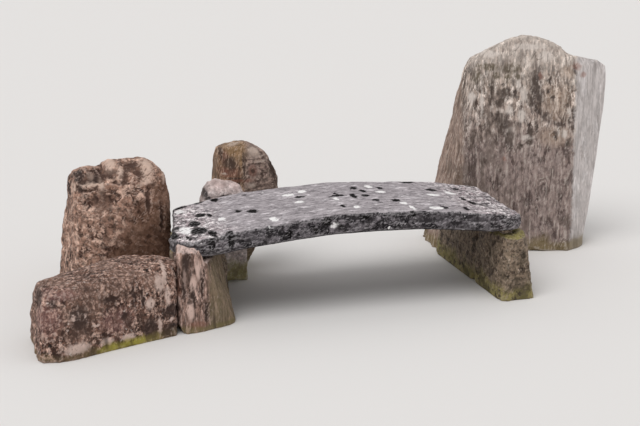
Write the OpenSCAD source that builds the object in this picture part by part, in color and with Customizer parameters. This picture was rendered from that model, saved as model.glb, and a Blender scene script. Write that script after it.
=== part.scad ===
// Moon bridge of a dry garden: one cambered slab of natural stone laid from bank to bank
// across a bed of raked gravel. Its level seats lie on packing stones, these lie on two
// bearing stones at each end, and upright and flanking stones hold the ends.
// +X runs along the bridge from the left bank to the right one, +Y away from the viewer,
// +Z up from the gravel. The origin is at the middle of the whole group, on the gravel.

/* [Slab] */
// Length of the slab from end to end, along its middle
slab_length = 1720; // [1400:10:2300]
// Width of the slab across its walking surface
slab_width = 680; // [560:10:860]
// Thickness of the slab at its crown
slab_thickness = 102; // [70:1:130]
// How far the walking surface falls from the crown to each end
camber = 83; // [60:1:130]
// Height of the walking surface above the gravel, at the crown
crown_height = 504; // [460:1:640]
// Length of the level seat dressed under each end
seat_length = 160; // [130:5:200]
// How much farther the near corner of the left end reaches than its far corner
end_skew = 110; // [0:5:140]
// Radius of the slab's rounded corners, in plan
corner_radius = 70; // [40:5:100]
// How far the near left corner is broken off, along the slab
broken_length = 125; // [70:5:150]
// How far the near left corner is broken off, across the slab
broken_width = 190; // [70:5:210]
// How far the slab's long edges wander from straight
edge_wander = 11; // [4:1:16]

/* [Bearing stones] */
// Length of the left bearing stone that lies hidden on the far side
left_bearing_length = 300; // [280:5:320]
// Length of the right bearing stones, hidden under the slab
right_bearing_length = 135; // [130:5:220]
// Reach of the bearing stones past the slab's near edge
near_reach = 40; // [20:5:80]
// Thickness of the packing stones between the slab and the bearing stones
packing_thickness = 18; // [12:1:30]
// Length of the largest packing stone
packing_length = 84; // [60:2:100]
// Height of the left near bearing stone's shoulder, beside the slab
shoulder_height = 422; // [400:2:560]
// Length of the left near bearing stone along the bridge
shoulder_length = 410; // [380:5:460]
// Depth of the left near bearing stone across the bridge
shoulder_depth = 400; // [360:5:440]

/* [Left bank stones] */
// Length of the low wing stone that carries the bank on
wing_length = 720; // [600:10:820]
// Depth of the wing stone
wing_depth = 400; // [340:10:460]
// Height of the wing stone
wing_height = 345; // [290:5:400]
// How far the wing stone turns from the line of the bridge, in degrees
wing_turn = 20; // [14:1:26]
// Length of the domed boulder at the far left corner
boulder_length = 530; // [440:10:620]
// Depth of the domed boulder
boulder_depth = 450; // [380:10:540]
// Height of the domed boulder
boulder_height = 690; // [560:10:800]

/* [Far edge stones] */
// Length of the pale ledge stone behind the slab
ledge_length = 250; // [210:5:300]
// Depth of the ledge stone
ledge_depth = 240; // [200:5:300]
// Height of the ledge stone
ledge_height = 556; // [520:4:600]
// Length of the leaning stone behind the ledge stone
leaning_length = 340; // [300:5:400]
// Depth of the leaning stone
leaning_depth = 330; // [280:5:400]
// Height of the leaning stone
leaning_height = 700; // [640:4:780]

/* [Standing stone] */
// Width of the standing stone across its face, at the foot
standing_width = 936; // [760:8:1100]
// Thickness of the standing stone
standing_depth = 400; // [320:10:480]
// Height of the standing stone
standing_height = 1180; // [1000:10:1400]
// How far the standing stone's face turns from the line of the bridge, in degrees
standing_turn = -17; // [-22:1:-8]
// How far the left corner of the standing stone stands behind the slab
standing_setback = 233; // [180:1:300]
// How far the standing stone reaches along the slab's right end
standing_overlap = 205; // [120:5:260]

/* [Fits] */
// Clearance between two stones that are set against each other
joint_gap = 0.3; // [0.2:0.1:1]
// Clearance between the slab's edges and the stones that flank it
flank_gap = 14; // [8:1:30]

/* [Hidden] */

// Colours as the stones look in daylight
slab_grey = [0.40, 0.40, 0.42];
rose_brown = [0.44, 0.33, 0.30];
bark_brown = [0.36, 0.27, 0.24];
ochre_brown = [0.42, 0.34, 0.24];
pale_grey = [0.56, 0.53, 0.50];
standing_grey = [0.50, 0.45, 0.42];

// The walking surface is an arc over the whole length, and the underside runs parallel to it
// as far as the level seats
half_length = slab_length / 2;
half_width = slab_width / 2;
arc_radius = (half_length * half_length + camber * camber) / (2 * camber);
seat_start = half_length - seat_length;
function arc_drop(x) = arc_radius - sqrt(arc_radius * arc_radius - x * x);
function top_height(x) = crown_height - arc_drop(x);
seat_height = top_height(seat_start) - slab_thickness;
function under_height(x) = abs(x) >= seat_start ? seat_height : top_height(x) - slab_thickness;
bearing_height = seat_height - packing_thickness;

// Slow and quick waves that stand for the cleft edges of natural stone, within -1 to 1
wave_length = 1160;
function turns(x, count, seed) = sin(360 * count * x / wave_length + seed);
function wave(x, seed) = 0.33 * turns(x, 1, seed * 97) + 0.32 * turns(x, 2.4, seed * 41)
    + 0.18 * turns(x, 5.5, seed * 59) + 0.17 * turns(x, 10, seed * 23);

// Stations along the slab: even over the span, closer towards the rounded ends
span_steps = 26;
end_shares = [0, 0.05, 0.16, 0.34, 0.6];
stations = concat(
    [for (share = end_shares) -half_length + share * seat_length],
    [for (i = [0:span_steps]) -seat_start + 2 * seat_start * i / span_steps],
    [for (i = [len(end_shares) - 1:-1:0]) half_length - end_shares[i] * seat_length]
);

// Each point of the cross-section: its share of the half width, then of the thickness
section = [
    [-0.93, 0], [-0.5, 0], [0, 0], [0.5, 0], [0.93, 0],
    [0.985, 0.12], [1, 0.4], [0.995, 0.7], [0.985, 0.9],
    [0.95, 1], [0.75, 1], [0.45, 1], [0.15, 1], [-0.15, 1], [-0.45, 1], [-0.75, 1], [-0.95, 1],
    [-0.985, 0.9], [-0.995, 0.7], [-1, 0.4], [-0.985, 0.12]
];
surface_wave = 3;
end_arris = 14;
side_fall = 3;
function rounding(end_distance, along, across) = end_distance >= along ? 0
    : across * (1 - sqrt(1 - pow(1 - end_distance / along, 2)));
function corner_loss(x, side) = x < 0 && side < 0
    ? rounding(half_length - abs(x), broken_length, broken_width)
    : rounding(half_length - abs(x), corner_radius, corner_radius);
function arris_loss(end_distance) = end_distance >= end_arris ? 0
    : end_arris * pow(1 - end_distance / end_arris, 2);
function skewed(x, side) = x < 0 ? x + end_skew / 2 * side * pow(x / half_length, 2) : x;
function slab_point(x, point) =
    let (
        side = point[0],
        share = point[1],
        end_distance = half_length - abs(x),
        reach = half_width - edge_wander - corner_loss(x, side),
        sideways = side * reach + edge_wander * wave(x, side > 0 ? 2 : 5) * abs(side),
        along = skewed(x, side),
        low = under_height(x),
        high = top_height(along) - arris_loss(end_distance) - side_fall * pow(side, 4),
        ripple = share == 1 ? surface_wave * wave(x + slab_width * side, 7) : 0
    )
    [along, sideways, low + (high - low) * share + ripple];
slab_points = [for (x = stations) for (p = section) slab_point(x, p)];

// A natural stone is drawn from rays out of its heart. A block is the blunt body that a set of
// cleft faces makes together, and a stone is one block or several grown into each other, with
// the steps and furrows between them. Each ray stops at the farthest block's surface, or
// before that at a flat face shared with a neighbour.
function spun(v, angle) = [
    v[0] * cos(angle) - v[1] * sin(angle),
    v[0] * sin(angle) + v[1] * cos(angle),
    v[2]
];
function heading(azimuth, elevation) = [
    cos(elevation) * cos(azimuth),
    cos(elevation) * sin(azimuth),
    sin(elevation)
];
function total(list) = [for (v = list) 1] * list;
function blunt_reach(ray, clefts, sharpness) = pow(
    total([for (c = clefts) pow(max(0, ray * heading(c[0], c[1])) / c[2], sharpness)]),
    -1 / sharpness
);
function grown_reach(ray, blocks, sharpness) =
    max([for (clefts = blocks) blunt_reach(ray, clefts, sharpness)]);
function lumps(ray, seed) =
    0.4 * sin(230 * ray[0] + 71 * seed) * sin(270 * ray[1] + 37 * seed + 160 * ray[2])
    + 0.35 * sin(410 * ray[1] + 53 * seed + 130 * ray[0]) * sin(400 * ray[2] + 29 * seed)
    + 0.25 * sin(560 * ray[0] + 17 * seed + 480 * ray[2]) * sin(510 * ray[1] + 43 * seed);
function flat_reaches(step, heart, faces) = [
    for (face = faces)
    let (rise = step * face[0])
    if (rise > 0) (face[1] - heart * face[0]) / rise
];

// Flat faces, each a normal and its distance from the origin along that normal
gravel = [[0, 0, -1], 0];
function face_through(point, azimuth, elevation = 0) =
    let (n = heading(azimuth, elevation)) [n, n * [point[0], point[1], len(point) > 2 ? point[2] : 0]];
function across_joint(face) = [-face[0], -face[1] - joint_gap];

// A stone is its place, size, turn, blocks of cleft faces (azimuth, elevation, reach in half
// sizes), flat faces, seed, sharpness of its edges, roughness, how high its heart lies, and
// how many rays it has around and how many rings of them one above the other. The lowest ring
// above the ground is let down onto it, so that the stone stands on its full foot
lowest_ray = -70;
highest_ray = 80;
plain_rays = [28, 14];
shoulder_rays = [32, 17];
leaning_rays = [36, 18];
wing_rays = [40, 18];
fine_rays = [44, 23];
standing_rays = [60, 32];
settled = 0.5;
function skin_point(bearing, heart, half, turn, blocks, faces, seed, sharpness, roughness) =
    let (
        ray = heading(bearing[0], bearing[1]),
        step = spun([ray[0] * half[0], ray[1] * half[1], ray[2] * half[2]], turn),
        natural = grown_reach(ray, blocks, sharpness) * (1 + roughness * lumps(ray, seed))
    )
    heart + step * min(concat([natural], flat_reaches(step, heart, faces)));
function stone_points(
    place, size, turn, blocks, flats, seed, sharpness, roughness, heart_share, rays_wanted
) =
    let (
        around = rays_wanted[0],
        rings = rays_wanted[1],
        heart = [place[0], place[1], size[2] * heart_share],
        half = [size[0] / 2, size[1] / 2, size[2] - heart[2]],
        faces = concat([gravel], flats),
        ring_step = (highest_ray - lowest_ray) / (rings - 1),
        bearings = concat(
            [
                for (j = [0:rings - 1]) for (i = [0:around - 1])
                [360 * (i + (j % 2) / 2) / around, lowest_ray + ring_step * j]
            ],
            [[0, 90], [0, -90]]
        )
    )
    [
        for (bearing = bearings)
        let (
            at = skin_point(
                bearing, heart, half, turn, blocks, faces, seed, sharpness, roughness
            ),
            below = bearing[1] > 0 ? at : skin_point(
                bearing - [0, ring_step], heart, half, turn, blocks, faces, seed, sharpness, roughness
            ),
            foot = [at[0], at[1], 0],
            room = min(concat([1], [for (flat = flats) flat[1] - flat[0] * foot]))
        )
        at[2] > settled && below[2] < settled && room > 0 ? foot : at
    ];
function stone_skin(around, rings) = concat(
    [
        for (i = [0:around - 1])
        [rings * around + 1, i, (i + 1) % around]
    ],
    [
        for (j = [0:rings - 2]) for (i = [0:around - 1])
        let (
            n = (i + 1) % around,
            a = j * around + i,
            b = j * around + n,
            c = a + around,
            d = b + around
        )
        for (face = j % 2 == 0 ? [[a, c, b], [b, c, d]] : [[a, d, b], [a, c, d]]) face
    ],
    [
        for (i = [0:around - 1])
        let (top = (rings - 1) * around, n = (i + 1) % around)
        [rings * around, top + n, top + i]
    ]
);

// The slab's outline in plan, and the faces that the stones share
widest = 0.4;
function plan_point(x, side) =
    let (p = slab_point(x, [side, widest])) [p[0], p[1]];
slab_plan = concat(
    [for (x = stations) plan_point(x, -1)],
    [for (i = [len(stations) - 1:-1:0]) plan_point(stations[i], 1)]
);
left_near_corner = [-half_length - end_skew / 2, -half_width];
left_far_corner = [-half_length + end_skew / 2, half_width];
end_near = plan_point(-half_length, -1);
end_far = plan_point(-half_length, 1);
end_azimuth = atan2(end_far[1] - end_near[1], end_far[0] - end_near[0]) + 90;
end_flank = face_through(
    end_far + flank_gap * [cos(end_azimuth), sin(end_azimuth)],
    end_azimuth
);
far_flank = face_through([0, half_width + flank_gap], 90);
middle_joint = face_through([0, 0], 90);
joint_setback = 20;
joint_forward = 45;
wing_joint_point = left_near_corner - [joint_setback, joint_forward];
wing_joint_azimuth = 170;
wing_joint = face_through(wing_joint_point, wing_joint_azimuth);

// Hidden bearing stones: a block of cleft faces with its corners broken
block_clefts = [
    [0, 4, 0.95], [180, 4, 0.95], [90, 5, 0.95], [270, 4, 0.94],
    [48, 8, 1.24], [137, 10, 1.2], [222, 12, 1.14], [311, 16, 1.12],
    [20, 62, 1.2], [200, 58, 1.22], [0, 90, 1.3]
];
end_reach = 22;
left_bearing_x = -half_length + left_bearing_length / 2 - end_reach;
right_bearing_x = half_length - right_bearing_length / 2 + end_reach;
bearing_y = half_width / 2;
bearing_width = half_width + 2 * near_reach;
left_bearing_size = [left_bearing_length + 30, bearing_width, bearing_height];
right_bearing_size = [right_bearing_length + 60, bearing_width, bearing_height];

left_far_bearing_points = stone_points(
    place = [left_bearing_x, bearing_y],
    size = left_bearing_size, turn = 0, blocks = [block_clefts],
    flats = [
        face_through([0, 0, bearing_height], 0, 90), end_flank, far_flank,
        across_joint(middle_joint)
    ],
    seed = 4, sharpness = 14, roughness = 0.04, heart_share = 0.5, rays_wanted = plain_rays
);
right_near_bearing_points = stone_points(
    place = [right_bearing_x, -bearing_y],
    size = right_bearing_size, turn = 0, blocks = [block_clefts],
    flats = [face_through([0, 0, bearing_height], 0, 90), middle_joint],
    seed = 6, sharpness = 14, roughness = 0.04, heart_share = 0.5, rays_wanted = plain_rays
);

// Left near bearing stone: its shoulder stands up beside the slab, and a seat is cut in it
shoulder_place = left_near_corner + [0.23 * shoulder_length, 0.41 * shoulder_depth];
shoulder_top = face_through([shoulder_place[0], shoulder_place[1], shoulder_height], 235, 84);
shoulder_clefts = [
    [-69, 4, 0.97], [-28, 22, 0.77], [8, 6, 0.86], [120, 3, 1.1], [180, 3, 1.3],
    [-110, 14, 1.08], [-150, 6, 1.2], [0, 88, 1.4]
];
shoulder_points = stone_points(
    place = shoulder_place,
    size = [shoulder_length, shoulder_depth, shoulder_height], turn = 0,
    blocks = [shoulder_clefts], flats = [middle_joint, wing_joint, shoulder_top],
    seed = 9, sharpness = 14, roughness = 0.035, heart_share = 0.42, rays_wanted = shoulder_rays
);

// Wing stone: low, long and boxy, set against the left near bearing stone. Its right half
// stands a little higher and farther forward than its left half
wing_place = [wing_joint_point[0], wing_joint_point[1], 0]
    + spun([joint_setback - wing_length / 2, 0.475 * wing_depth, 0], wing_turn);
wing_common = [
    [168, 2, 0.86], [0, 4, 1.3], [90, 10, 0.97], [145, 16, 1.04], [40, 12, 1.2],
    [-134, 10, 1.26], [110, 62, 1.06]
];
wing_left = concat(wing_common, [[-92, 7, 0.96], [-84, 50, 1.1], [185, 84, 0.94], [0, 40, 0.98]]);
wing_right = concat(wing_common, [[-86, 7, 0.98], [-95, 56, 1.12], [175, 30, 0.62], [0, 88, 0.99]]);
wing_points = stone_points(
    place = wing_place,
    size = [wing_length, wing_depth, wing_height], turn = wing_turn,
    blocks = [wing_left, wing_right], flats = [across_joint(wing_joint)],
    seed = 12, sharpness = 16, roughness = 0.045, heart_share = 0.4, rays_wanted = wing_rays
);

// Domed boulder at the far left corner of the slab: a rounded crown, a lower flat shoulder
// beside it on the left, and a base that stands out a little below both
boulder_place = left_far_corner + [-0.481 * boulder_length, 0.18 * boulder_depth];
boulder_common = [
    [0, 4, 1.0], [180, 5, 0.99], [90, 10, 0.97], [135, 16, 1.1], [45, 12, 1.12],
    [-44, 12, 1.12], [-138, 14, 1.16], [180, 21, 1.15]
];
boulder_crown = concat(boulder_common, [
    [-90, 14, 0.94], [180, 45, 0.88], [180, 80, 0.99], [80, 82, 0.96], [0, 63, 1.17],
    [0, 50, 1.21], [0, 17, 1.12], [-95, 58, 1.07], [95, 58, 1.08]
]);
boulder_shoulder = concat(boulder_common, [
    [-92, 12, 0.86], [180, 67, 1.15], [100, 86, 0.91], [0, 75, 0.76], [-90, 52, 0.96]
]);
boulder_base = concat(boulder_common, [[-86, 6, 1.02], [-120, 84, 0.66], [0, 60, 1.0]]);
boulder_points = stone_points(
    place = boulder_place,
    size = [boulder_length, boulder_depth, boulder_height], turn = 6,
    blocks = [boulder_crown, boulder_shoulder, boulder_base], flats = [across_joint(end_flank)],
    seed = 15, sharpness = 22, roughness = 0.045, heart_share = 0.42, rays_wanted = fine_rays
);

// Ledge stone, and the leaning stone that rises from behind it
ledge_overlap = 54;
ledge_bite = 28;
left_bearing_inner = left_bearing_x + left_bearing_length / 2;
ledge_place = [
    left_bearing_inner - ledge_overlap + ledge_length / 2,
    half_width + flank_gap - ledge_bite + ledge_depth / 2
];
lean_joint = face_through(
    [ledge_place[0], ledge_place[1] + 0.16 * ledge_depth, 0.6 * ledge_height],
    80, 16
);
ledge_points = stone_points(
    place = ledge_place,
    size = [ledge_length, ledge_depth, ledge_height], turn = 0,
    blocks = [[
        [-90, 2, 0.98], [0, 4, 0.98], [180, 6, 1.0], [-45, 6, 1.16], [-135, 4, 1.3],
        [60, 10, 1.1], [130, 10, 1.1], [-85, 58, 1.1], [180, 66, 1.08], [0, 70, 1.08], [0, 88, 1.0]
    ]],
    flats = [across_joint(far_flank), lean_joint],
    seed = 18, sharpness = 14, roughness = 0.04, heart_share = 0.4, rays_wanted = plain_rays
);
leaning_common = [
    [-5, -34, 0.66], [0, 6, 1.02], [178, 2, 1.0], [90, 6, 0.94], [45, 10, 1.08], [140, 16, 1.08]
];
leaning_pillar = concat(leaning_common, [
    [-96, 4, 0.94], [-130, 30, 1.06], [0, 50, 0.83], [180, 80, 1.02], [0, 86, 1.0], [90, 60, 1.04]
]);
leaning_flank = concat(leaning_common, [
    [-78, 8, 0.9], [180, 30, 0.4], [0, 76, 0.94], [0, 48, 1.01], [0, 22, 1.07], [90, 56, 1.02]
]);
leaning_points = stone_points(
    place = ledge_place + [0.5 * leaning_length, 0.47 * leaning_depth],
    size = [leaning_length, leaning_depth, leaning_height], turn = 0,
    blocks = [leaning_pillar, leaning_flank],
    flats = [across_joint(far_flank), across_joint(lean_joint)],
    seed = 21, sharpness = 16, roughness = 0.03, heart_share = 0.55, rays_wanted = leaning_rays
);

// Standing stone: a broad face that leans back in two halves with a furrow between them, a
// sloping left edge, a head that rises to the right and a low shoulder with a step up to it
standing_corner = [half_length - standing_overlap, half_width + standing_setback];
standing_middle = spun([standing_width / 2, standing_depth / 2, 0], standing_turn);
standing_place = standing_corner + [standing_middle[0], standing_middle[1]];
foot_dressing = 18;
standing_bed = face_through(
    standing_corner + foot_dressing * [-sin(standing_turn), cos(standing_turn)],
    standing_turn - 90
);
standing_common = [
    [-175, 16.8, 0.635], [0, -11.6, 1.07], [-23, 0, 0.995],
    [90, 6, 0.94], [130, 18, 1.0], [50, 8, 1.05], [90, 60, 1.06]
];
standing_left_face = [-82, 12.7, 0.79];
standing_right_face = [-102, 12.7, 0.68];
standing_head = [[180, 42, 0.9], [167, 71.4, 0.895], [19, 77.3, 0.995], [0, 34, 1.0]];
standing_blocks = [
    concat(standing_common, standing_head, [standing_left_face]),
    concat(standing_common, standing_head, [standing_right_face]),
    concat(standing_common, [standing_right_face, [180, 60, 0.55], [45, 84.3, 0.85]])
];
standing_points = stone_points(
    place = standing_place,
    size = [standing_width, standing_depth, standing_height], turn = standing_turn,
    blocks = standing_blocks, flats = [standing_bed],
    seed = 24, sharpness = 32, roughness = 0.018, heart_share = 0.466, rays_wanted = standing_rays
);
bed_distance = standing_corner[1] - half_width;
right_far_bearing_points = stone_points(
    place = [right_bearing_x, bearing_y + bed_distance / 3],
    size = right_bearing_size + [0, bed_distance, 0], turn = 0, blocks = [block_clefts],
    flats = [
        face_through([0, 0, bearing_height], 0, 90), across_joint(middle_joint),
        across_joint(standing_bed)
    ],
    seed = 7, sharpness = 14, roughness = 0.04, heart_share = 0.5, rays_wanted = plain_rays
);

// The origin lies at the middle of the group's plan
group_points = concat(
    slab_points, shoulder_points, left_far_bearing_points, right_near_bearing_points,
    right_far_bearing_points, wing_points, boulder_points, ledge_points, leaning_points,
    standing_points
);
function middle_of(values) = (min(values) + max(values)) / 2;
group_middle = [
    middle_of([for (p = group_points) p[0]]),
    middle_of([for (p = group_points) p[1]]),
    0
];
module placed() {
    translate(-group_middle) children();
}
module stone(points, rays_wanted) {
    placed() polyhedron(points, stone_skin(rays_wanted[0], rays_wanted[1]), convexity = 6);
}

module bridge_slab() {
    ring = len(section);
    last = len(stations) - 1;
    sides = [
        for (i = [0:last - 1]) for (j = [0:ring - 1])
        let (a = i * ring + j, b = i * ring + (j + 1) % ring)
        for (face = [[a, a + ring, b], [b, a + ring, b + ring]]) face
    ];
    hub = len(slab_points);
    hubs = [slab_point(-half_length, [0, 0.5]), slab_point(half_length, [0, 0.5])];
    ends = [
        for (j = [0:ring - 1])
        let (n = (j + 1) % ring)
        for (face = [[hub, j, n], [hub + 1, last * ring + n, last * ring + j]]) face
    ];
    color(slab_grey) placed()
        polyhedron(concat(slab_points, hubs), concat(sides, ends), convexity = 4);
}

// Three flat stones on each bearing stone, each with its own broken outline
module packing(side, row) {
    outline = [[-0.5, -0.2], [-0.3, -0.5], [0.25, -0.44], [0.5, -0.08], [0.36, 0.42], [-0.2, 0.5]];
    middle_x = side * (half_length - seat_length / 2);
    pitch = slab_width / 7.5;
    shrink = 0.12;
    color(ochre_brown) placed()
    for (i = [0:2])
        translate([skewed(middle_x, row * 0.25 * (i + 1)), row * pitch * (1 + i), bearing_height])
        rotate(side * 15 + i * 47)
        linear_extrude(packing_thickness)
        polygon([for (p = outline) p * packing_length * (1 - shrink * i)]);
}
module left_near_packing() packing(-1, -1);
module left_far_packing() packing(-1, 1);
module right_near_packing() packing(1, -1);
module right_far_packing() packing(1, 1);

// The seat follows the slab's outline, a flank gap outside it
module left_near_bearing_stone() {
    color(rose_brown)
    difference() {
        stone(shoulder_points, shoulder_rays);
        placed()
            translate([0, 0, bearing_height])
            linear_extrude(shoulder_height)
            offset(delta = flank_gap)
            polygon(slab_plan);
    }
}
module left_far_bearing_stone() color(rose_brown) stone(left_far_bearing_points, plain_rays);
module right_near_bearing_stone() color(bark_brown) stone(right_near_bearing_points, plain_rays);
module right_far_bearing_stone() color(bark_brown) stone(right_far_bearing_points, plain_rays);
module left_wing_stone() color(bark_brown) stone(wing_points, wing_rays);
module left_domed_boulder() color(rose_brown) stone(boulder_points, fine_rays);
module far_ledge_stone() color(pale_grey) stone(ledge_points, plain_rays);
module far_leaning_stone() color(ochre_brown) stone(leaning_points, leaning_rays);
module right_standing_stone() color(standing_grey) stone(standing_points, standing_rays);

bridge_slab();
left_near_packing();
left_far_packing();
right_near_packing();
right_far_packing();
left_near_bearing_stone();
left_far_bearing_stone();
right_near_bearing_stone();
right_far_bearing_stone();
left_wing_stone();
left_domed_boulder();
far_ledge_stone();
far_leaning_stone();
right_standing_stone();
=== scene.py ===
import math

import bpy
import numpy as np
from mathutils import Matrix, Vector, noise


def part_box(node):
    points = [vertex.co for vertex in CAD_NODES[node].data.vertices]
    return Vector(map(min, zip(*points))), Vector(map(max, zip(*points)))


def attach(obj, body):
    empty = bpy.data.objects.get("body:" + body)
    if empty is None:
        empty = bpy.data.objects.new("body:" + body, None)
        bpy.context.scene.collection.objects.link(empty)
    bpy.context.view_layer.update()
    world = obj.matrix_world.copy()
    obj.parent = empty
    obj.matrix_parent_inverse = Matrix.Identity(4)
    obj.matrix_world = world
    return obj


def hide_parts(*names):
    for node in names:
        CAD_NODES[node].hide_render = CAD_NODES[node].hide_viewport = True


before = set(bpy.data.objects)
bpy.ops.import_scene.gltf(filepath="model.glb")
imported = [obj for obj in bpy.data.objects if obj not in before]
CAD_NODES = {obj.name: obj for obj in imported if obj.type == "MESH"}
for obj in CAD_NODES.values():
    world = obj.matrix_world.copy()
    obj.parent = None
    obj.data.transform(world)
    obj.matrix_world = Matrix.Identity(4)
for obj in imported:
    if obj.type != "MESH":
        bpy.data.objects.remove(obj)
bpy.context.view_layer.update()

# %% [markdown]
# # An arched slab bridge of natural stone
# The bridge is one long cambered slab that rests on bedded stones, held and flanked by taller rocks.
# The frame brings its solids at their real size and place. They are true in outline and plain in finish.
# In these cells each solid gets a dense copy of itself, whose surface is then weathered: split faces,
# ridges, pits and worn edges are real geometry, and colour, lichen and moss are shader nodes.
# Sculpting each rock by hand would work too, but formulas give the same stones on each run.

print("solids in the frame:", len(CAD_NODES))

# %% [markdown]
# ## The viewpoint
# The photo was taken from a raised place, looking down on the bridge. Where its camera stood follows from
# the photo's vanishing lines, and a ray through any of its pixels can then be worked out.
# The same rays are used later to place a lichen spot or a stain where the photo shows it.
# The new camera keeps that place and only has a longer lens, so that the bridge fills the frame.

# %% The photo's rays
SLAB = "bridge_slab"
SLAB_LOW, SLAB_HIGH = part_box(SLAB)
EYE_BEFORE_RIGHT_END = 3.586
EYE_FROM_MIDDLE_LINE = 8.453
EYE_HEIGHT = 2.80
EYE_X = SLAB_HIGH.x - EYE_BEFORE_RIGHT_END
EYE_Y = (SLAB_LOW.y + SLAB_HIGH.y) / 2 - EYE_FROM_MIDDLE_LINE
EYE = Vector((EYE_X, EYE_Y, EYE_HEIGHT))
HEADING = math.radians(18.3)
PITCH = math.radians(13.56)
PHOTO_FOCAL = 800.0
PHOTO_CENTRE = (320.0, 213.0)

RIGHT = Vector((math.cos(HEADING), -math.sin(HEADING), 0.0))
LEVEL_AHEAD = Vector((math.sin(HEADING), math.cos(HEADING), 0.0))
AHEAD = LEVEL_AHEAD * math.cos(PITCH) - Vector((0.0, 0.0, math.sin(PITCH)))
UP = RIGHT.cross(AHEAD)


def photo_ray(column, row):
    """The direction in which the photo's camera saw a pixel."""
    across = (column - PHOTO_CENTRE[0]) / PHOTO_FOCAL
    down = (row - PHOTO_CENTRE[1]) / PHOTO_FOCAL
    return (AHEAD + across * RIGHT - down * UP).normalized()


print("the photo looks along", [round(part, 3) for part in AHEAD])

# %% The camera
SENSOR_WIDTH = 36.0
SHOWN_COLUMNS = 280.0
AIM_PIXEL = (305.0, 233.0)

camera_data = bpy.data.cameras.new("camera")
camera_data.sensor_width = SENSOR_WIDTH
camera_data.lens = SENSOR_WIDTH * PHOTO_FOCAL / SHOWN_COLUMNS
camera = bpy.data.objects.new("camera", camera_data)
bpy.context.scene.collection.objects.link(camera)
camera.location = EYE
camera.rotation_euler = photo_ray(*AIM_PIXEL).to_track_quat("-Z", "Y").to_euler()
bpy.context.scene.camera = camera
print("lens", round(camera_data.lens, 1), "mm")

# %% [markdown]
# ## Small helpers for shader nodes
# Every look below is a tree of shader nodes. Placing one node takes several lines of code, so each of
# these functions places a node, feeds it and gives back the output that is wanted.
# The same trees could be drawn in the shader editor. As code they can be read from top to bottom.

# %% Node helpers
def fill(tree, socket, value):
    """Feeds a socket from another socket or sets it to a plain value."""
    if isinstance(value, bpy.types.NodeSocket):
        tree.links.new(value, socket)
    else:
        socket.default_value = value


def put(tree, kind, inputs=(), **settings):
    """Adds a shader node with its settings and its filled inputs."""
    made = tree.nodes.new("ShaderNode" + kind)
    for name, value in settings.items():
        setattr(made, name, value)
    for name, value in dict(inputs).items():
        fill(tree, made.inputs[name], value)
    return made


def reckon(tree, operation, first, second):
    """One Math node."""
    return put(tree, "Math", {0: first, 1: second}, operation=operation).outputs[0]


def vector(tree, operation, first, second):
    """One Vector Math node on two vectors."""
    return put(tree, "VectorMath", {0: first, 1: second}, operation=operation).outputs[0]


def cloud(tree, place, scale, detail, roughness=0.5):
    """The value of a noise, from about 0 to 1."""
    inputs = {"Vector": place, "Scale": scale, "Detail": detail, "Roughness": roughness}
    return put(tree, "TexNoise", inputs).outputs["Fac"]


def between(tree, value, low, high):
    """A soft step from 0 at low to 1 at high."""
    inputs = {"Value": value, "From Min": low, "From Max": high}
    return put(tree, "MapRange", inputs, interpolation_type="SMOOTHSTEP").outputs[0]


def tint(tree, mask, under, over, strength=1.0):
    """Lays one colour over another where a mask says, at a strength from 0 to 1."""
    share = mask if strength == 1.0 else reckon(tree, "MULTIPLY", mask, strength)
    return put(tree, "Mix", {0: share, 6: under, 7: over}, data_type="RGBA").outputs[2]


def rgb(red, green, blue):
    """A colour with full alpha."""
    return (red, green, blue, 1.0)


print("node helpers ready")

# %% [markdown]
# ## Light and floor
# Stone shows its form best under a bright grey sky: soft light from above and hardly a hard shadow.
# A pale world gives that light from all round, and one wide sun lamp gives the stones their form.
# Together they light a level face at about full strength, so a colour renders as it is written.
# Through Light Path, the camera and mirroring surfaces are shown a paler world than the one that shines.

# %% The light
SKY_LIGHT = 0.66
SKY_SHOWN = 0.80
SUN_LIGHT = 1.35
SUN_WIDTH = math.radians(40)
SUN_FROM = Vector((-0.62, -0.50, 1.25))

world = bpy.data.worlds.new("bright grey sky")
bpy.context.scene.world = world
world.use_nodes = True
sky = world.node_tree
sky.nodes.clear()
paths = put(sky, "LightPath")
seen = reckon(sky, "MAXIMUM", paths.outputs["Is Camera Ray"], paths.outputs["Is Glossy Ray"])
strength = put(sky, "Mix", {0: seen, 2: SKY_LIGHT, 3: SKY_SHOWN}).outputs[0]
shine = put(sky, "Background", {"Color": rgb(1.0, 1.0, 1.0), "Strength": strength})
put(sky, "OutputWorld", {"Surface": shine.outputs[0]})

sun_data = bpy.data.lights.new("wide sun", "SUN")
sun_data.energy = SUN_LIGHT
sun_data.angle = SUN_WIDTH
sun = bpy.data.objects.new("wide sun", sun_data)
bpy.context.scene.collection.objects.link(sun)
sun.rotation_euler = SUN_FROM.to_track_quat("Z", "Y").to_euler()
bpy.context.scene.view_settings.view_transform = "Standard"
level_light = SKY_LIGHT + SUN_LIGHT / math.pi * SUN_FROM.normalized().z
print("light on a level face is about", round(level_light, 2))

# %% The floor
FLOOR_HALF = 30.0
FLOOR_COLOUR = rgb(0.76, 0.74, 0.725)

floor_mesh = bpy.data.meshes.new("floor")
corners = [(-1, -1), (1, -1), (1, 1), (-1, 1)]
floor_mesh.from_pydata([(x * FLOOR_HALF, y * FLOOR_HALF, 0) for x, y in corners], [], [(0, 1, 2, 3)])
floor = bpy.data.objects.new("floor", floor_mesh)
bpy.context.scene.collection.objects.link(floor)
floor_paint = bpy.data.materials.new("pale floor")
floor_paint.use_nodes = True
floor_surface = floor_paint.node_tree.nodes["Principled BSDF"].inputs
floor_surface["Base Color"].default_value = FLOOR_COLOUR
floor_surface["Roughness"].default_value = 0.9
floor_surface["Specular IOR Level"].default_value = 0.1
floor_mesh.materials.append(floor_paint)
print("floor laid")

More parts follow.
